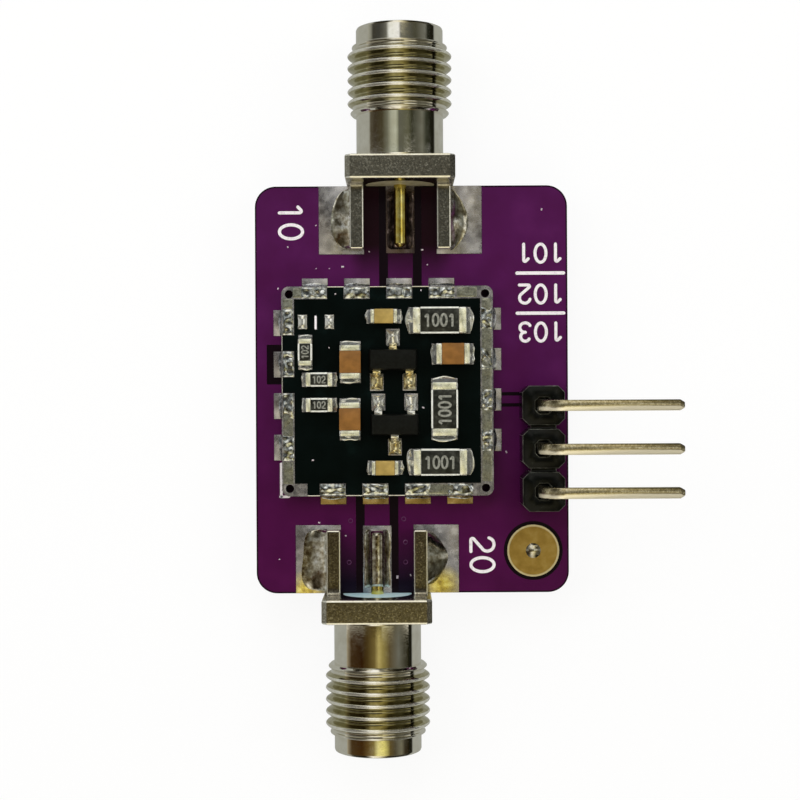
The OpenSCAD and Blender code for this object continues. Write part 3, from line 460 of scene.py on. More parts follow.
# %% Surface helpers
def grid_faces(rows, columns, wrap_rows):
    """Quads of a rows x columns grid whose points are numbered row by row. Each row is a closed outline, and
    the last row may join the first."""
    i, j = np.meshgrid(np.arange(rows if wrap_rows else rows - 1), np.arange(columns), indexing="ij")
    i2, j2 = (i + 1) % rows, (j + 1) % columns
    corners = [i * columns + j, i * columns + j2, i2 * columns + j2, i2 * columns + j]
    return np.stack(corners, -1).reshape(-1, 4)


def turn_about_z(points, degrees, at):
    """Turn points about the Z axis and move them: from a piece's own axes to the frame."""
    a = math.radians(degrees)
    matrix = np.array([[math.cos(a), -math.sin(a), 0], [math.sin(a), math.cos(a), 0], [0, 0, 1]])
    return points @ matrix.T + np.array(at, float)


class Shape:
    """Collects grids of points, in millimetres, and makes them one mesh."""

    def __init__(self):
        self.points, self.faces, self.kinds = [], [], []
        self.count = 0

    def grid(self, points, turn=0, at=(0, 0, 0), wrap_rows=False, caps=False, kind=0):
        """Turn a rows x columns x 3 grid about Z, move it and add it. Caps close its two end rows."""
        points = turn_about_z(points, turn, at)
        rows, columns = points.shape[:2]
        flat = points.reshape(-1, 3)
        made = (grid_faces(rows, columns, wrap_rows) + self.count).tolist()
        if caps:
            k = np.arange(columns)
            after, start = (k + 1) % columns, (rows - 1) * columns
            middle = 0 * k + len(flat)
            fans = [[after, k, middle], [start + k, start + after, middle + 1]]
            made += (np.transpose(fans, (2, 0, 1)).reshape(-1, 3) + self.count).tolist()
            flat = np.vstack([flat, points[0].mean(0), points[-1].mean(0)])
        self.points.append(flat)
        self.faces += made
        self.kinds += [kind] * len(made)
        self.count += len(flat)

    def piece(self, name, materials, slot, crease=50, replaced=()):
        """Make the mesh, point its faces outwards, and let it ride on the body."""
        mesh = bpy.data.meshes.new(name)
        mesh.from_pydata(np.vstack(self.points) * MM, [], self.faces)
        mesh.polygons.foreach_set("material_index", self.kinds)
        mesh.polygons.foreach_set("use_smooth", [True] * len(self.faces))
        mesh.validate()
        made = bpy.data.objects.new(name, mesh)
        scene.collection.objects.link(made)
        for material in materials:
            mesh.materials.append(material)
        work = bmesh.new()
        work.from_mesh(mesh)
        bmesh.ops.remove_doubles(work, verts=work.verts, dist=1e-7)
        bmesh.ops.dissolve_degenerate(work, edges=work.edges, dist=1e-8)
        bmesh.ops.recalc_face_normals(work, faces=work.faces)
        work.to_mesh(mesh)
        work.free()
        mesh.set_sharp_from_angle(angle=math.radians(crease))
        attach(made, "root")
        if replaced:
            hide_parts(*replaced)
        print(name, len(mesh.polygons), "faces")


def with_foot(x, y, z):
    """Closed sections from a surface over a flat ground: each row's points, and under its two ends a point
    at z = 0."""
    top = np.stack([x, y, z], -1)
    foot = np.stack([x[:, ::-1], y[:, ::-1], 0 * z], -1)[:, [0, -1]]
    return np.concatenate([top, foot], 1)


def ripple(x, y, size, seed):
    """Smooth uneven surface, mostly in -1..1: the sum of nine sine waves over four, their directions,
    phases and lengths near one size drawn from a seed."""
    draw = np.random.default_rng(seed)
    total = 0
    for _ in range(9):
        angle, phase, stretch = draw.uniform(0, 2 * np.pi), draw.uniform(0, 2 * np.pi), draw.uniform(0.7, 1.6)
        total = total + np.sin((x * np.cos(angle) + y * np.sin(angle)) * 2 * np.pi / (size * stretch) + phase)
    return total / 4


# %% [markdown]
# ## Jack shells
# A jack's shell is turned from square bar on a lathe, so it is one profile spun round its axis; only the
# flange keeps the bar's square. One grid does both: each row is a closed outline, a circle or a square with
# cut corners. The thread's ridges lie level in the photograph, so they are part of the profile.

# %% Jack sizes
FLANGE, FLANGE_T, BEVEL, CORNER = 6.45, 1.45, 0.12, 0.3
BARREL_R, FILLET_R = 2.6, 0.12
CREST_R, CREST_FROM, THREAD_DEPTH, PITCH = 3.12, 3.06, 0.38, 25.4 / 36
THREAD_FROM, THREAD_TO, THREAD_BEVEL, FIRST_GROOVE = 4.1, 8.25, 0.3, 0.55
NOSE_TO, NOSE_BEVEL, MOUTH_R, SEAT, BORE_R = 9.35, 0.15, 2.3, 7.45, 2.05
LEG_X, LEG_W, LEG_H, LEG_L, LEG_BEVEL, LEG_ROOT = 2.185, 0.84, 1.0, 3.85, 0.08, 0.14
# A V groove's shares of the pitch: half its flat root, then one flank.
GROOVE_ROOT, GROOVE_FLANK = 0.07, 0.33
# How far plating rounds the thread's crests and roots.
PLATING = 0.07
# A quarter circle's middle lies this share of its radius from both sides of the corner that it rounds.
SOFT = 0.29
# Each flat face gets a row this close to its rounded edge, which keeps the face's shading level.
NEAR = 0.02
POINTS_AROUND, THREAD_ROWS = 176, 170
# The shell's finishes by their order on the piece.
NOSE, FACE, TUBE, RUBBED_AND_HIGHLIT, HOLLOW = range(5)
SHELL_FINISHES = [turned, milled, tooled, rubbed_and_highlit, groove]


# %% Profile of the shell
def square_outline(theta, half, cut):
    """Distance from the middle to a square of that half side with cut corners, for each angle: the
    smaller of the distances to its side and to its corner cut."""
    c, s = np.abs(np.cos(theta)), np.abs(np.sin(theta))
    return np.minimum(half / np.maximum(c, s), (2 * half - cut) / (c + s))


def thread_cut(y):
    """Radius of the ridges: V grooves at the pitch with narrow roots and crests, cut back by a 45 degree
    cone at both ends."""
    turns = (y - THREAD_FROM) / PITCH - FIRST_GROOVE
    climb = np.clip((np.abs(turns - np.round(turns)) - GROOVE_ROOT) / GROOVE_FLANK, 0, 1)
    cone = CREST_R - THREAD_BEVEL + np.minimum(y - THREAD_FROM, THREAD_TO - y)
    return np.minimum(CREST_R - THREAD_DEPTH * (1 - climb), cone)


def thread_radius(y):
    """The ridges as plating leaves them: each radius is the mean of seven round it, which rounds crests
    and roots."""
    return np.mean([thread_cut(y + shift) for shift in np.linspace(-PLATING, PLATING, 7)], axis=0)


def shell_points():
    """Rows of the shell from the back of the bore over the flange, barrel, thread and nose and back."""
    half, b = FLANGE / 2, BEVEL
    corner = math.atan((half - CORNER) / half)
    special = [q * np.pi / 2 + a for q in range(4) for a in (corner, np.pi / 2 - corner)]
    theta = np.append(np.linspace(0, 2 * np.pi, POINTS_AROUND, endpoint=False), special)
    theta = np.unique(np.round(theta, 6))
    rows = [(BORE_R, 0.0)]
    back = [(b, 0), (b * SOFT, b * SOFT), (0, b), (0, b + NEAR)]
    for inset, y in back + [(inset, FLANGE_T - y) for inset, y in back[::-1]]:
        rows.append((square_outline(theta, half - inset, CORNER), y))
    # Two rows on the barrel and one on the nose keep the long walls' faces short.
    fillet, lip = FILLET_R / 3, NOSE_BEVEL * 0.3
    rows += [(BARREL_R + FILLET_R, FLANGE_T), (BARREL_R + fillet, FLANGE_T + fillet)]
    wall = FLANGE_T + FILLET_R
    rows += [(BARREL_R, y) for y in (wall, wall + NEAR, 2.4, 3.3, THREAD_FROM)]
    ridges = np.linspace(THREAD_FROM, THREAD_TO, THREAD_ROWS)
    rows += list(zip(thread_radius(ridges), ridges))
    end = NOSE_TO - NOSE_BEVEL
    rows += [(BARREL_R, y) for y in (THREAD_TO, THREAD_TO + 0.5, end - NEAR, end)]
    rows += [(BARREL_R - lip, NOSE_TO - lip), (BARREL_R - NOSE_BEVEL, NOSE_TO)]
    rows += [(MOUTH_R, NOSE_TO), (MOUTH_R, SEAT), (BORE_R, SEAT)]
    radius = np.array([r + 0 * theta for r, _ in rows])
    y = np.array([y for _, y in rows])[:, None] + 0 * radius
    return np.stack([radius * np.cos(theta), y, radius * np.sin(theta)], -1)


# %% Jack shell
def leg_points(side, top):
    """A leg as a bevelled section carried from inside the flange to its free end, top up or down. At the
    root its top climbs into the flange by a small hollow."""
    half, b, soft, root = LEG_W / 2, LEG_BEVEL, LEG_BEVEL * SOFT, LEG_ROOT
    low, up = (TOP + LAND - AXIS_Z, 1) if top else (UNDER - LAND - AXIS_Z, -1)
    edge = [(half, LEG_H - b - NEAR), (half, LEG_H - b), (half - soft, LEG_H - soft), (half - b, LEG_H)]
    edge.append((half - b - NEAR, LEG_H))
    x, z = np.array([(-half, 0), (half, 0)] + edge + [(-x, z) for x, z in edge[::-1]]).T
    rows = []
    for y, inset, lift in (
        (BEVEL, 0, root), (0, 0, root), (-root * 0.3, 0, root * 0.3), (-root, 0, 0), (-root - NEAR, 0, 0),
        (b - LEG_L + NEAR, 0, 0), (b - LEG_L, 0, 0), (soft - LEG_L, soft, 0), (-LEG_L, b, 0),
    ):
        height = low + up * (z - np.minimum(z, inset) + lift * (z > 0))
        rows.append(np.column_stack([x - np.copysign(inset * 0.6, x), 0 * x + y, height]))
    return np.array(rows) + [side * (LEG_X + half), 0, 0]


def jack_shell(jack, x, y, turn):
    """Shell of one jack: a grid whose rows are milled flange, tooled barrel, thread or nose, and four milled
    legs. Edges and crests are rubbed and carry a painted highlight; the thread's grooves carry painted shade
    and a painted warm reflection."""
    at = (x, y, AXIS_Z)
    shape = Shape()
    rows = shell_points()
    shape.grid(rows, turn, at, wrap_rows=True)
    depth = (rows[:, 0, 1] + np.roll(rows[:, 0, 1], -1)) / 2
    reach = np.hypot(rows[:, 0, 0], rows[:, 0, 2])
    from_edge = np.minimum(depth, FLANGE_T - depth)
    # Mid-thread rows that are not crests take the groove finish with its painted shade and warm reflection.
    kinds = np.select(
        [
            (from_edge > 0.01) & (from_edge < BEVEL), depth < FLANGE_T + 0.01, depth < THREAD_FROM,
            reach > CREST_FROM, (depth > THREAD_FROM + 0.5) & (depth < THREAD_TO - 0.4),
        ],
        [RUBBED_AND_HIGHLIT, FACE, TUBE, RUBBED_AND_HIGHLIT, HOLLOW],
        NOSE,
    )
    shape.kinds = np.repeat(kinds, rows.shape[1]).tolist()
    for side, top in ((-1, True), (-1, False), (1, True), (1, False)):
        points = leg_points(side, top)
        # The two bevels along the leg, then the one round its free end, which take the rubbed finish with its
        # painted highlight.
        rubbed_highlit_bevels = np.zeros((len(points) - 1, points.shape[1]), bool)
        rubbed_highlit_bevels[:, [3, 4, 8, 9]] = rubbed_highlit_bevels[-2:, 2:11] = True
        count = len(shape.kinds)
        shape.grid(points, turn, at, caps=True, kind=FACE)
        shape.kinds[count : count + rubbed_highlit_bevels.size] = np.where(rubbed_highlit_bevels, RUBBED_AND_HIGHLIT, FACE).ravel().tolist()
    name, node = jack + "_threaded_shell", jack + "_jack_shell"
    shape.piece(name, SHELL_FINISHES, "nickel_plate", crease=34, replaced=[node])


# Each jack's place on the board's edge, and its turn.
JACKS = {"input": (INPUT_X, BOARD_L / 2, 0), "output": (OUTPUT_X, -BOARD_L / 2, 180)}
for jack, place in JACKS.items():
    jack_shell(jack, *place)

# %% [markdown]
# ## Solder
# Molten solder is pulled up a metal wall and drawn thin at its edge, so every joint is a curved wedge. One
# function gives that wedge; its width, height and roundness differ from joint to joint as by hand.


# %% Solder wedge
def wedge(length, reach, height, seed, curve, ends, rough, rows=30, columns=16):
    """Rows of a closed section along Y. The share s = sin(pi u) ^ ends narrows the wedge towards its ends;
    its surface falls as height * (1 - v) ^ curve from the wall at x = 0 to the reach."""
    u = np.linspace(0, 1, rows)[:, None]
    v = np.linspace(0, 1, columns)[None, :]
    share = np.sin(np.pi * np.clip(u, 1e-3, 1 - 1e-3)) ** ends
    draw = np.random.default_rng(seed)
    sway = 1 + 0.1 * np.sin(2 * np.pi * (u * draw.uniform(0.6, 1.4) + draw.uniform()))
    x = reach * share * sway * v
    y = (u - 0.5) * length + 0 * v
    z = height * share**0.7 * (1 - v) ** curve
    z += ripple(x, y, 0.9, seed) * rough * np.sin(np.pi * v) * share
    return with_foot(x, y, np.maximum(z, 0.004 * (1 - v)))


# %% Solder of the jacks
# The contact's tail, the skin on it, where its joint starts and ends, and how high it stands beside it.
TAIL_R, TAIL_SKIN, TAIL_FROM, TAIL_TO, TAIL_SIDE = 0.38, 0.035, 0.34, 3.82, 0.36
# For each leg: its side, then length, reach and height of its wedge, the wedge's middle, curve and ends.
INPUT_LEGS = [(-1, 3.7, 1.25, 0.7, -2.0, 1.5, 0.5), (1, 3.7, 1.0, 0.7, -2.05, 2.0, 0.6)]
OUTPUT_LEGS = [(-1, 3.25, 1.12, 0.8, -2.1, 0.9, 0.5), (1, 3.7, 1.6, 0.75, -2.0, 2.2, 0.2)]


def tail_solder(over, seed):
    """Solder along a contact's tail: a mound across the land whose top follows the tail. Where it covers
    the tail, the middle of the section is the tail's own circle plus a skin."""
    tip, middle = np.linspace(TAIL_TO, TAIL_TO - 0.3, 9), np.linspace(TAIL_TO - 0.4, TAIL_FROM + 0.08, 26)
    y = -np.concatenate([tip, middle, [TAIL_FROM + 0.02, TAIL_FROM]])
    yy, xx = np.meshgrid(y, np.linspace(-0.8, 0.8, 45), indexing="ij")
    nose = np.clip((yy + TAIL_TO) / 0.3, 0, 1)
    share = np.sqrt(np.clip(1 - (1 - nose) ** 2, 0.0004, 1))
    fade = np.clip((-TAIL_FROM - yy) / 0.1, 0.02, 1) ** 0.5
    width = (0.78 + 0.05 * np.sin(yy * 3 + seed)) * (0.72 + 0.28 * share)
    side = np.clip((width - np.abs(xx)) / (width - TAIL_SIDE), 0, 1)
    z = TAIL_SIDE * side**1.7 * share
    if over:
        ball = np.clip((TAIL_R + TAIL_SKIN) ** 2 - xx**2, 0, None)
        z = np.maximum(z, (TAIL_R + np.sqrt(ball)) * share * (ball > 0))
    z = z * fade + 0.006 * ripple(xx, yy, 0.7, seed) * side * fade
    return with_foot(np.clip(xx, -width, width), yy, np.maximum(z, 0.002))


def jack_solder(jack, legs, over, seed):
    """All the solder of one jack: a wedge beside each leg on both faces, and the joint of the contact."""
    x, y, turn = JACKS[jack]
    shape = Shape()
    for k, (side, length, reach, height, middle, curve, ends) in enumerate(legs):
        own = wedge(length, reach, height, seed + k, curve, ends, 0.02, 44, 22)
        local = turn_about_z(own, 0 if side > 0 else 180, (side * (LEG_X + LEG_W), middle, 0))
        shape.grid(local, turn, (x, y, TOP + LAND))
        shape.grid(local * [1, 1, -0.9], turn, (x, y, UNDER - LAND))
    # The input contact's joint takes the second finish, its painted shade.
    shape.grid(tail_solder(over, seed), turn, (x, y, TOP + LAND), kind=0 if over else 1)
    shape.piece(jack + "_joint_solder", [frozen, shaded_solder], "solder", replaced=[jack + "_jack_solder"])


jack_solder("input", INPUT_LEGS, False, 11)
jack_solder("output", OUTPUT_LEGS, True, 23)

# %% Solder of the module's pads
PAD_W, RIGHT_PAD_W, RIM_W = 1.55, 1.33, 0.75
# Each pad's middle on the module's edge, the direction it faces, and its width.
PADS = [(x, MODULE_L / 2, 90, PAD_W) for x in (-4.35, -1.81, 0.73, 3.27)]
PADS += [(x, -MODULE_L / 2, -90, PAD_W) for x in (-3.29, -0.75, 1.79, 4.33)]
PADS += [(-MODULE_W / 2, y, 180, PAD_W) for y in (4.13, 1.63, -0.87, -3.37)]
PADS += [(MODULE_W / 2, y, 0, RIGHT_PAD_W) for y in (4.325, 1.895, -0.535, -2.965)]


def on_module(x, y, z=CHIP_BASE):
    """A place in the frame, given from the module's middle."""
    return MODULE_X + x, MODULE_Y + y, z


edge_solder = Shape()
for k, (x, y, facing, width) in enumerate(PADS):
    own = wedge(width, 0.24, 0.36, 100 + k, 1.5, 0.15, 0.02)
    edge_solder.grid(own, facing, on_module(x, y, TOP + LAND))
edge_solder.piece("module_edge_solder", [reflowed], "solder", replaced=["module_solder"])

# %% [markdown]
# ## Solder skins
# Where solder lies on a flat pad with no wall beside it, it forms a low pillow. A film and a mound are the
# same pillow with steeper or rounder edges: one minus an even power of the place across it, each way.


# %% Solder film on the rim
def pillow(length, width, rows, columns, powers):
    """Places on a strip, rows along X and sections across Y, and their share of the height, which is
    (1 - (2u - 1) ^ n) * (1 - (2v - 1) ^ m)."""
    u = np.linspace(0, 1, rows)[:, None]
    v = np.linspace(0, 1, columns)[None, :]
    share = (1 - (2 * u - 1) ** powers[0]) * (1 - (2 * v - 1) ** powers[1])
    return (u - 0.5) * length + 0 * v, (v - 0.5) * width + 0 * u, share


def film(length, width, height, seed, size):
    """Solder skin on a strip: a flat pillow times an uneven surface."""
    x, y, share = pillow(length, width, max(8, int(length / 0.055)), 15, (10, 6))
    swell = np.clip(0.5 + 0.5 * ripple(x, y, size, seed), 0.1, 1.3)
    return with_foot(x, y, height * np.clip(share, 0, 1) * swell + 0.002)


# The strips between the pads: middle, direction and length.
RIM_X, RIM_Y = (MODULE_W - RIM_W) / 2, (MODULE_L - RIM_W) / 2
STRIPS = [
    (4.75, RIM_Y, 0, 1.2), (RIM_X, -0.6, 90, 9.6), (-RIM_X, -2.1, 90, 2.2), (3.1, -RIM_Y, 0, 3.4),
    (-5.36, RIM_Y, 0, 0.5), (-RIM_X, 5.22, 90, 0.6), (RIM_X, 4.9, 90, 1.2), (-RIM_X, -4.85, 90, 1.3),
]
FILM_W, BACK = RIM_W * 0.86, RIM_W / 2 + 0.01
rim = Shape()
for k, (x, y, facing, width) in enumerate(PADS):
    a = math.radians(facing)
    at = on_module(x - BACK * math.cos(a), y - BACK * math.sin(a))
    rim.grid(film(width * 0.97, FILM_W, 0.06, 200 + k, 0.55), facing + 90, at)
for k, (x, y, facing, length) in enumerate(STRIPS):
    rim.grid(film(length, FILM_W * 0.9, 0.02, 240 + k, 0.8), facing, on_module(x, y), kind=1)
rim.piece("rim_solder_film", [reflowed, levelled], "solder", crease=60)

# %% Solder of the chips
# Each chip's middle, direction, length and width, and the reach and height of its joints. The first three
# are the load resistors, the next three the bias resistors.
CHIPS = [
    (3.12, 4.19, 0, 3.2, 1.58, 0.42, 0.44), (3.39, -1.09, 90, 3.2, 1.58, 0.34, 0.44),
    (3.12, -4.24, 0, 3.2, 1.58, 0.42, 0.44), (-4.88, 2.33, 90, 1.6, 0.84, 0.26, 0.34),
    (-4.06, 0.7, 0, 1.6, 0.84, 0.26, 0.34), (-4.06, -0.81, 0, 1.6, 0.84, 0.26, 0.34),
    (-2.2, 1.73, 90, 2.02, 1.25, 0.26, 0.4), (-2.23, -1.67, 90, 2.02, 1.25, 0.26, 0.4),
    (3.9, 2.19, 0, 2.02, 1.25, 0.3, 0.4), (-0.19, 4.44, 0, 1.6, 0.84, 0.3, 0.4),
    (-0.16, -4.56, 0, 1.6, 0.84, 0.3, 0.4),
]
chip_joints = Shape()
for k, (x, y, facing, length, width, reach, height) in enumerate(CHIPS):
    for end, turn in enumerate((facing, facing + 180)):
        a = math.radians(turn)
        at = on_module(x + length / 2 * math.cos(a), y + length / 2 * math.sin(a))
        own = wedge(width * 0.98, reach, height, 300 + 2 * k + 2 * end, 2.0, 0.25, 0.04)
        chip_joints.grid(own, turn, at)
chip_joints.piece("chip_joint_solder", [lead_tin], "solder", replaced=["chip_solder"])


# %% Solder over the diodes' feet
def mound(length, width, height, seed):
    """A round pillow with an uneven skin."""
    x, y, share = pillow(length, width, 22, 17, (4, 2))
    return with_foot(x, y, height * share * (1 + 0.12 * ripple(x, y, 0.9, seed)) + 0.002)


# Each diode's middle, 1 where its single lead is at the top, and its feet: 1 where stained gold, else 0.
DIODES = [(0.34, 1.86, 1, (0, 1, 1)), (0.43, -2.0, -1, (1, 0, 0))]
feet = Shape()
for k, (x, y, up, stains) in enumerate(DIODES):
    for j, (dx, dy) in enumerate(((0, 1.3), (-0.975, -1.3), (0.975, -1.3))):
        own = mound(0.95, 0.76, 0.26, 400 + 3 * k + j)
        feet.grid(own, 90, on_module(x + dx, y + up * dy), kind=stains[j])
feet.piece("diode_foot_solder", [lead_tin, lead_gold], "tinned_lead")

# %% Solder left on the unused footprint
unused = Shape()
for k, dx in enumerate((-0.8, 0.8)):
    unused.grid(mound(0.84, 0.54, 0.14, 460 + k), 90, on_module(dx - 4.24, 4.14))
unused.piece("unused_footprint_solder", [lead_tin], "solder")

# %% [markdown]
# ## Printing
# White ink is squeezed through a screen and lies as a thin raised film. The numbers are plain terminal
# numbers. Each digit is a pen stroke: a path with a flat, round-ended section carried along it.


# %% Pen strokes
def arc(cx, cy, rx, ry, a, b, steps=22):
    """Points on an ellipse from angle a to angle b, in degrees."""
    t = np.radians(np.linspace(a, b, steps))
    return list(zip(cx + rx * np.cos(t), cy + ry * np.sin(t)))


# Each digit's strokes, for a height of 1.
DIGIT_W, ADVANCE = 0.62, 0.84
DIGITS = {
    "0": [arc(0.31, 0.5, 0.29, 0.48, 90, 450, 40)],
    "1": [[(0.12, 0.79)] + arc(0.29, 0.86, 0.07, 0.07, 135, 0, 8) + [(0.36, 0.02)]],
    "2": [arc(0.31, 0.7, 0.28, 0.28, 165, -35) + arc(0.13, 0.09, 0.07, 0.07, 138, 270, 8) + [(0.6, 0.02)]],
    "3": [arc(0.3, 0.74, 0.24, 0.24, 150, -90), arc(0.3, 0.26, 0.28, 0.25, 92, -155)],
}
INK = 0.02


def ribbon(path, width, low, high):
    """A flat stroke along a path: four points per row. A closed path stays open-ended, because its rows
    wrap; an open one gets extra rows that round both ends."""
    path = np.array(path, float)
    if np.allclose(path[0], path[-1]):
        points = path[:-1]
        ways = np.roll(points, -1, 0) - np.roll(points, 1, 0)
        halves = np.full(len(points), width / 2)
    else:
        step = np.gradient(path, axis=0)
        step /= np.linalg.norm(step, axis=1)[:, None]
        angles = np.radians([80, 60, 35, 12])
        head = path[0] - step[0] * np.sin(angles)[:, None] * width / 2
        tail = path[-1] + step[-1] * np.sin(angles[::-1])[:, None] * width / 2
        points = np.vstack([head, path, tail])
        ways = np.vstack([np.repeat(step[:1], 4, 0), step, np.repeat(step[-1:], 4, 0)])
        halves = np.concatenate([np.cos(angles), np.ones(len(path)), np.cos(angles[::-1])]) * width / 2
    ways /= np.linalg.norm(ways, axis=1)[:, None]
    side = np.stack([-ways[:, 1], ways[:, 0]], -1) * halves[:, None]
    rows = []
    for offset, z in ((side, low), (side, high), (-side, high), (-side, low)):
        rows.append(np.column_stack([points + offset, np.full(len(points), z)]))
    return np.stack(rows, 1)


def number(shape, text, height, width, turn, at, thick=INK, squeeze=1.0):
    """Write a number whose middle is at the given point. A digit's second stroke is a little thicker, so
    that no two faces lie in one plane."""
    wide = height * squeeze
    left = -((len(text) - 1) * ADVANCE + DIGIT_W) / 2 * wide
    for k, digit in enumerate(text):
        for lift, stroke in enumerate(DIGITS[digit]):
            path = [(left + (k * ADVANCE + x) * wide, (y - 0.5) * height) for x, y in stroke]
            rows = ribbon(path, width, 0, thick * (1 + 0.1 * lift))
            shape.grid(rows, turn, at, wrap_rows=digit == "0", caps=digit != "0")


# %% Printing on the boards
# The lines: three points, the width, and the height of the face below.
LINES = [
    ((3.2, 6.965), (4.6, 6.965), (6.0, 6.965), 0.2, TOP), ((3.2, 4.55), (4.6, 4.55), (6.0, 4.55), 0.2, TOP),
    ((-11.06, -4.45), (-11.06, -5.4), (-11.06, -6.43), 0.16, TOP),
    ((-11.12, -6.43), (-10.9, -6.43), (-10.6, -6.43), 0.14, TOP),
    (*[on_module(-4.26, y)[:2] for y in (3.75, 4.1, 4.45)], 0.13, MODULE_TOP),
]
ink = Shape()
number(ink, "10", 1.45, 0.19, -90, (-10.40, 10.13, TOP))
number(ink, "20", 1.45, 0.19, -90, (1.03, -9.97, TOP))
for text, y in (("101", 8.16), ("102", 5.70), ("103", 3.41)):
    number(ink, text, 1.14, 0.18, 180, (4.62, y, TOP))
for *points, width, face in LINES:
    ink.grid(ribbon(points, width, face, face + INK), caps=True)
ink.piece("screen_printing", [white_ink], "purple_mask", crease=40)

# %% Numbers on the resistors
# Text, chip height, digit height and pen width, for the load resistors and then the bias resistors.
CODES = [("1001", 0.58, 0.72, 0.13)] * 3 + [("102", 0.46, 0.4, 0.075)] * 3
marks = Shape()
for (x, y, facing, *_), (text, high, tall, pen) in zip(CHIPS, CODES):
    number(marks, text, tall, pen, facing, on_module(x, y, CHIP_BASE + high + 0.03), 0.004, 0.8)
marks.piece("resistor_numbers", [grey_mark], "dark_overcoat", crease=40)

# %% [markdown]
# ## Small traces
# Where solder mask bends over a filled via, a ring stands up, and its pale tone is a painted highlight. A few
# grains of dust and lint lie on the board, as on every board that has been handled.

# %% Rings and dust
VIAS = [(-3.7, -7.8), (-3.6, -9.2), (-3.6, -10.4), (-6.9, -7.9), (-7.0, -10.4)]
RING_R, RING_HALF_W, RING_T = 0.12, 0.025, 0.012
round_ring = np.linspace(0, 2 * np.pi, 28, endpoint=False)
section = np.linspace(0, 2 * np.pi, 8, endpoint=False)[:, None]
radius = RING_R + RING_HALF_W * np.cos(section)
height = TOP + 0.004 + RING_T * np.sin(section) + 0 * round_ring
rings = Shape()
for x, y in VIAS:
    ring = [x + radius * np.cos(round_ring), y + radius * np.sin(round_ring), height]
    rings.grid(np.stack(ring, -1), wrap_rows=True)
rings.piece("tented_via_rings", [via_ring_highlight], "purple_mask", crease=60)

# Each grain's place and size on the carrier, then on the module.
GRAINS = [
    (-7.3, 7.4, 0.1), (-8.9, 9.9, 0.07), (-11.2, 6.1, 0.08), (-10.6, 8.6, 0.07), (-5.7, 8.3, 0.06),
    (-2.5, 8.4, 0.09), (-2.2, 7.5, 0.06), (4.7, 10.8, 0.09), (2.5, -3.8, 0.09), (-7.2, -8.8, 0.07),
    (-8.1, 7.3, 0.05), (-8.9, 7.3, 0.05), (-4.1, -11.3, 0.12), (-3.3, -11.2, 0.07), (-8.8, -8.0, 0.08),
    (-11.2, -10.2, 0.06),
]
CHIP_GRAINS = [
    (-9.1, -4.2, 0.09), (-7.7, 5.7, 0.07), (-2.6, 5.9, 0.07), (-8.1, 2.5, 0.06), (-2.5, -1.1, 0.09),
]
dust = Shape()
for level, grains in ((TOP, GRAINS), (MODULE_TOP, CHIP_GRAINS)):
    for k, (x, y, size) in enumerate(grains):
        dust.grid(mound(size * 1.5, size, size * 0.4, 500 + k), 37 * k, (x, y, level))
dust.piece("dust_grains", [lint], "purple_mask", crease=60)

# %% [markdown]
# ## Floor and light
# The floor is white and shows white to the camera, and a dim grey that fades to dark beyond the header's pins
# to mirror-like metal, but still takes a soft shadow.
# The room above is a gradient by direction: metal sees a dim ceiling with one bright strip, as round parts
# need dark and light bands to look round.

# %% Floor
HALF = 3
# What metal sees of the paper: it ends in the dark beyond the header's pins.
PAPER_FROM, PAPER_TO = 13, 21
floor_mesh = bpy.data.meshes.new("floor")
corners = [(-HALF, -HALF, 0), (HALF, -HALF, 0), (HALF, HALF, 0), (-HALF, HALF, 0)]
floor_mesh.from_pydata(corners, [], [(0, 1, 2, 3)])
floor = bpy.data.objects.new("floor", floor_mesh)
scene.collection.objects.link(floor)
paper, tree, shader = blank("white_paper")
feed(shader, {"Base Color": "#ffffff", "Roughness": 0.9})
ray = add(tree, "LightPath").outputs
share = add(tree, "Math", {0: ray["Is Camera Ray"], 1: 0.9}, operation="MULTIPLY")
lit = add(tree, "MixShader", {0: share, 1: shader, 2: add(tree, "Emission")})
beyond = within(tree, (along(tree)["X"], PAPER_FROM, PAPER_TO))
mirrored = add(tree, "Mix", {0: beyond, 6: "#a7a8a0", 7: "#1c1b13"}, data_type="RGBA")
dim = add(tree, "Emission", {"Color": mirrored})
seen = add(tree, "MixShader", {0: ray["Is Glossy Ray"], 1: lit, 2: dim})
feed(tree.nodes["Material Output"], {"Surface": seen})
floor_mesh.materials.append(paper)
print("floor:", 2 * HALF, "m")

# %% Room
# Each of these holds the colours of one zone, from the left horizon (0) over the top (0.5) to the right
# one (1). Flat parts mirror the zones overhead; barrels lean away from the camera and mirror those beyond.
# The ridges of the thread and the bevels mirror the far zones down to the horizon.
OVER_UPPER = {
    0: "#e4e4de", 0.07: "#a8a8a4", 0.16: "#989894", 0.28: "#94948f", 0.36: "#72736e", 0.44: "#5f605c",
    0.55: "#5b5c58", 0.575: "#fcfaf0", 0.71: "#eceade", 0.76: "#6a6a62", 0.88: "#8a8a80", 1: "#e8e8e0",
}
OVER_LOWER = {
    0: "#e0dccf", 0.07: "#a4a092", 0.16: "#989486", 0.28: "#928e7e", 0.34: "#60583f", 0.44: "#3a2b12",
    0.55: "#33240e", 0.58: "#ccc6a2", 0.7: "#b0a888", 0.76: "#605c48", 0.88: "#7c786a", 1: "#e0dccc",
}
BARREL_UPPER = {
    0: "#a4a49a", 0.04: "#544e40", 0.12: "#3e3628", 0.24: "#48422f", 0.32: "#747464", 0.38: "#b0b2a0",
    0.44: "#bcbeac", 0.475: "#90927e", 0.488: "#646458", 0.62: "#5e5e4a", 0.68: "#363628", 0.84: "#727266",
    0.91: "#383a2e", 1: "#1c1c12",
}
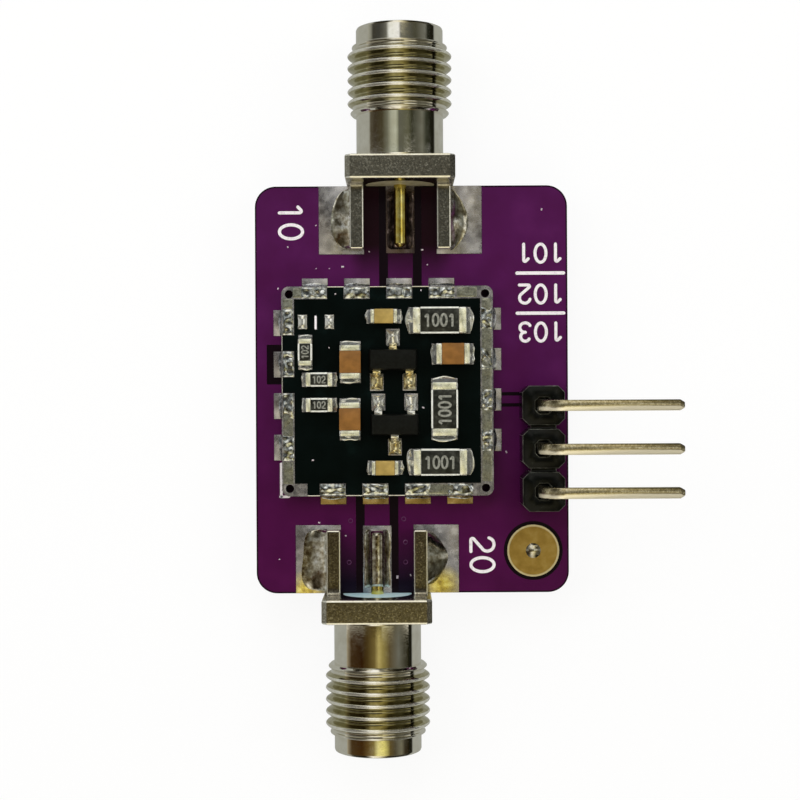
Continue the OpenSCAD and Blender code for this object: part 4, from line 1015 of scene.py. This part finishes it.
NOSE_UPPER = {
    0: "#a4a498", 0.05: "#94948a", 0.09: "#3e3e38", 0.2: "#42423e", 0.31: "#666660", 0.35: "#f8faf8",
    0.49: "#ffffff", 0.52: "#6c6c62", 0.66: "#585850", 0.74: "#464638", 0.9: "#787870", 0.95: "#1c1e14",
    1: "#22221c",
}
BARREL_LOWER = {
    0: "#aaa28c", 0.04: "#80745e", 0.09: "#42301a", 0.27: "#301c08", 0.36: "#4c3c1c", 0.46: "#746438",
    0.52: "#bcac6c", 0.58: "#94864c", 0.68: "#5a4e34", 0.82: "#6c6c62", 0.92: "#464438", 1: "#22200f",
}
NOSE_LOWER = {
    0: "#aaa28c", 0.04: "#80745e", 0.09: "#4c3a20", 0.26: "#442a0c", 0.36: "#685028", 0.44: "#88763c",
    0.5: "#fff6a4", 0.59: "#fff490", 0.68: "#64542a", 0.76: "#48402c", 0.86: "#7c7862", 0.92: "#383020",
    1: "#201808",
}
CRESTS_UPPER = {
    0: "#a8a89c", 0.08: "#48443a", 0.26: "#3c382e", 0.33: "#a8a496", 0.37: "#f8f6ea", 0.48: "#fffcf0",
    0.55: "#f0e6c4", 0.6: "#b8ae8a", 0.66: "#58523f", 0.86: "#5c5a4e", 0.94: "#3a382e", 1: "#585650",
}
CRESTS_LOWER = {
    0: "#a49c8c", 0.08: "#443c2e", 0.3: "#3a3226", 0.36: "#968e78", 0.4: "#f4ecd4", 0.54: "#fff4cc",
    0.6: "#c8bc90", 0.66: "#5c5440", 0.86: "#5a584c", 0.94: "#38362c", 1: "#504e44",
}
GROOVES = {
    0: "#58544a", 0.08: "#1e1a12", 0.3: "#18140a", 0.36: "#b0aca0", 0.4: "#fffcf2", 0.48: "#fff8e4",
    0.54: "#e4dcbc", 0.6: "#9c9474", 0.66: "#241f10", 0.88: "#16130b", 0.94: "#3a362b", 1: "#4c4a40",
}
HORIZON_UPPER = {
    0: "#d4d0c4", 0.22: "#e0dcd0", 0.3: "#ffffff", 0.52: "#fffcf0", 0.6: "#8c8878", 0.8: "#6a685a",
    1: "#605e54",
}
HORIZON_LOWER = {
    0: "#c4bcac", 0.26: "#d0c8b8", 0.34: "#f8f0e0", 0.52: "#fff8e0", 0.6: "#c0b490", 0.75: "#8f8468",
    1: "#66645a",
}
# Where along Y, the sine of the lean, each zone takes over from those before it.
ZONES = [
    (-0.04, 0.04, OVER_UPPER), (0.14, 0.146, BARREL_UPPER), (0.2, 0.208, NOSE_UPPER),
    (0.224, 0.235, CRESTS_UPPER), (0.58, 0.64, GROOVES), (0.8, 0.88, HORIZON_UPPER),
    (-0.1345, -0.138, BARREL_LOWER), (-0.196, -0.204, NOSE_LOWER), (-0.222, -0.235, CRESTS_LOWER),
    (-0.58, -0.64, GROOVES), (-0.8, -0.88, HORIZON_LOWER),
]
world = bpy.data.worlds.new("studio")
scene.world = world
world.use_nodes = True
tree = world.node_tree
part = along(tree, "Generated")
across = add(tree, "Math", {0: part["X"], 1: part["Z"]}, operation="ARCTAN2")
span = add(tree, "MapRange", {0: across, 1: -math.pi / 2, 2: math.pi / 2})
bands = add(tree, "ValToRGB", {"Fac": span}, OVER_LOWER)
for low, high, stops in ZONES:
    reached = add(tree, "MapRange", {0: part["Y"], 1: low, 2: high})
    zone = add(tree, "ValToRGB", {"Fac": span}, stops)
    bands = add(tree, "Mix", {0: reached, 6: bands, 7: zone}, data_type="RGBA")
sky = feed(tree.nodes["Background"], {"Color": bands, "Strength": 1.0})
seen_from = add(tree, "LightPath").outputs["Is Camera Ray"]
white = add(tree, "Background", {"Color": "#ffffff"})
pick = add(tree, "MixShader", {0: seen_from, 1: sky, 2: white})
feed(tree.nodes["World Output"], {"Surface": pick})
print("zones of the room:", 1 + len(ZONES))


# %% Lamps
def lamp(name, at, size, watts, colour="#ffffff"):
    """A square soft lamp, placed in millimetres, that looks at the board and isn't seen by polished metal."""
    data = bpy.data.lights.new(name, "AREA")
    data.shape, data.size, data.energy = "SQUARE", size * MM, watts
    data.color = linear(colour)[:3]
    made = bpy.data.objects.new(name, data)
    made.location = [value * MM for value in at]
    direction = mathutils.Vector((0, 0, 3)) - mathutils.Vector(at)
    made.rotation_euler = direction.to_track_quat("-Z", "Y").to_euler()
    made.visible_glossy = False
    scene.collection.objects.link(made)


lamp("left_softbox", (-160, 60, 170), 160, 0.2)
lamp("right_softbox", (170, 40, 160), 160, 0.18)
lamp("back_softbox", (-10, 190, 150), 150, 0.2, "#e4f0ff")
lamp("front_softbox", (10, -180, 150), 150, 0.05)
print("lamps:", len(bpy.data.lights))
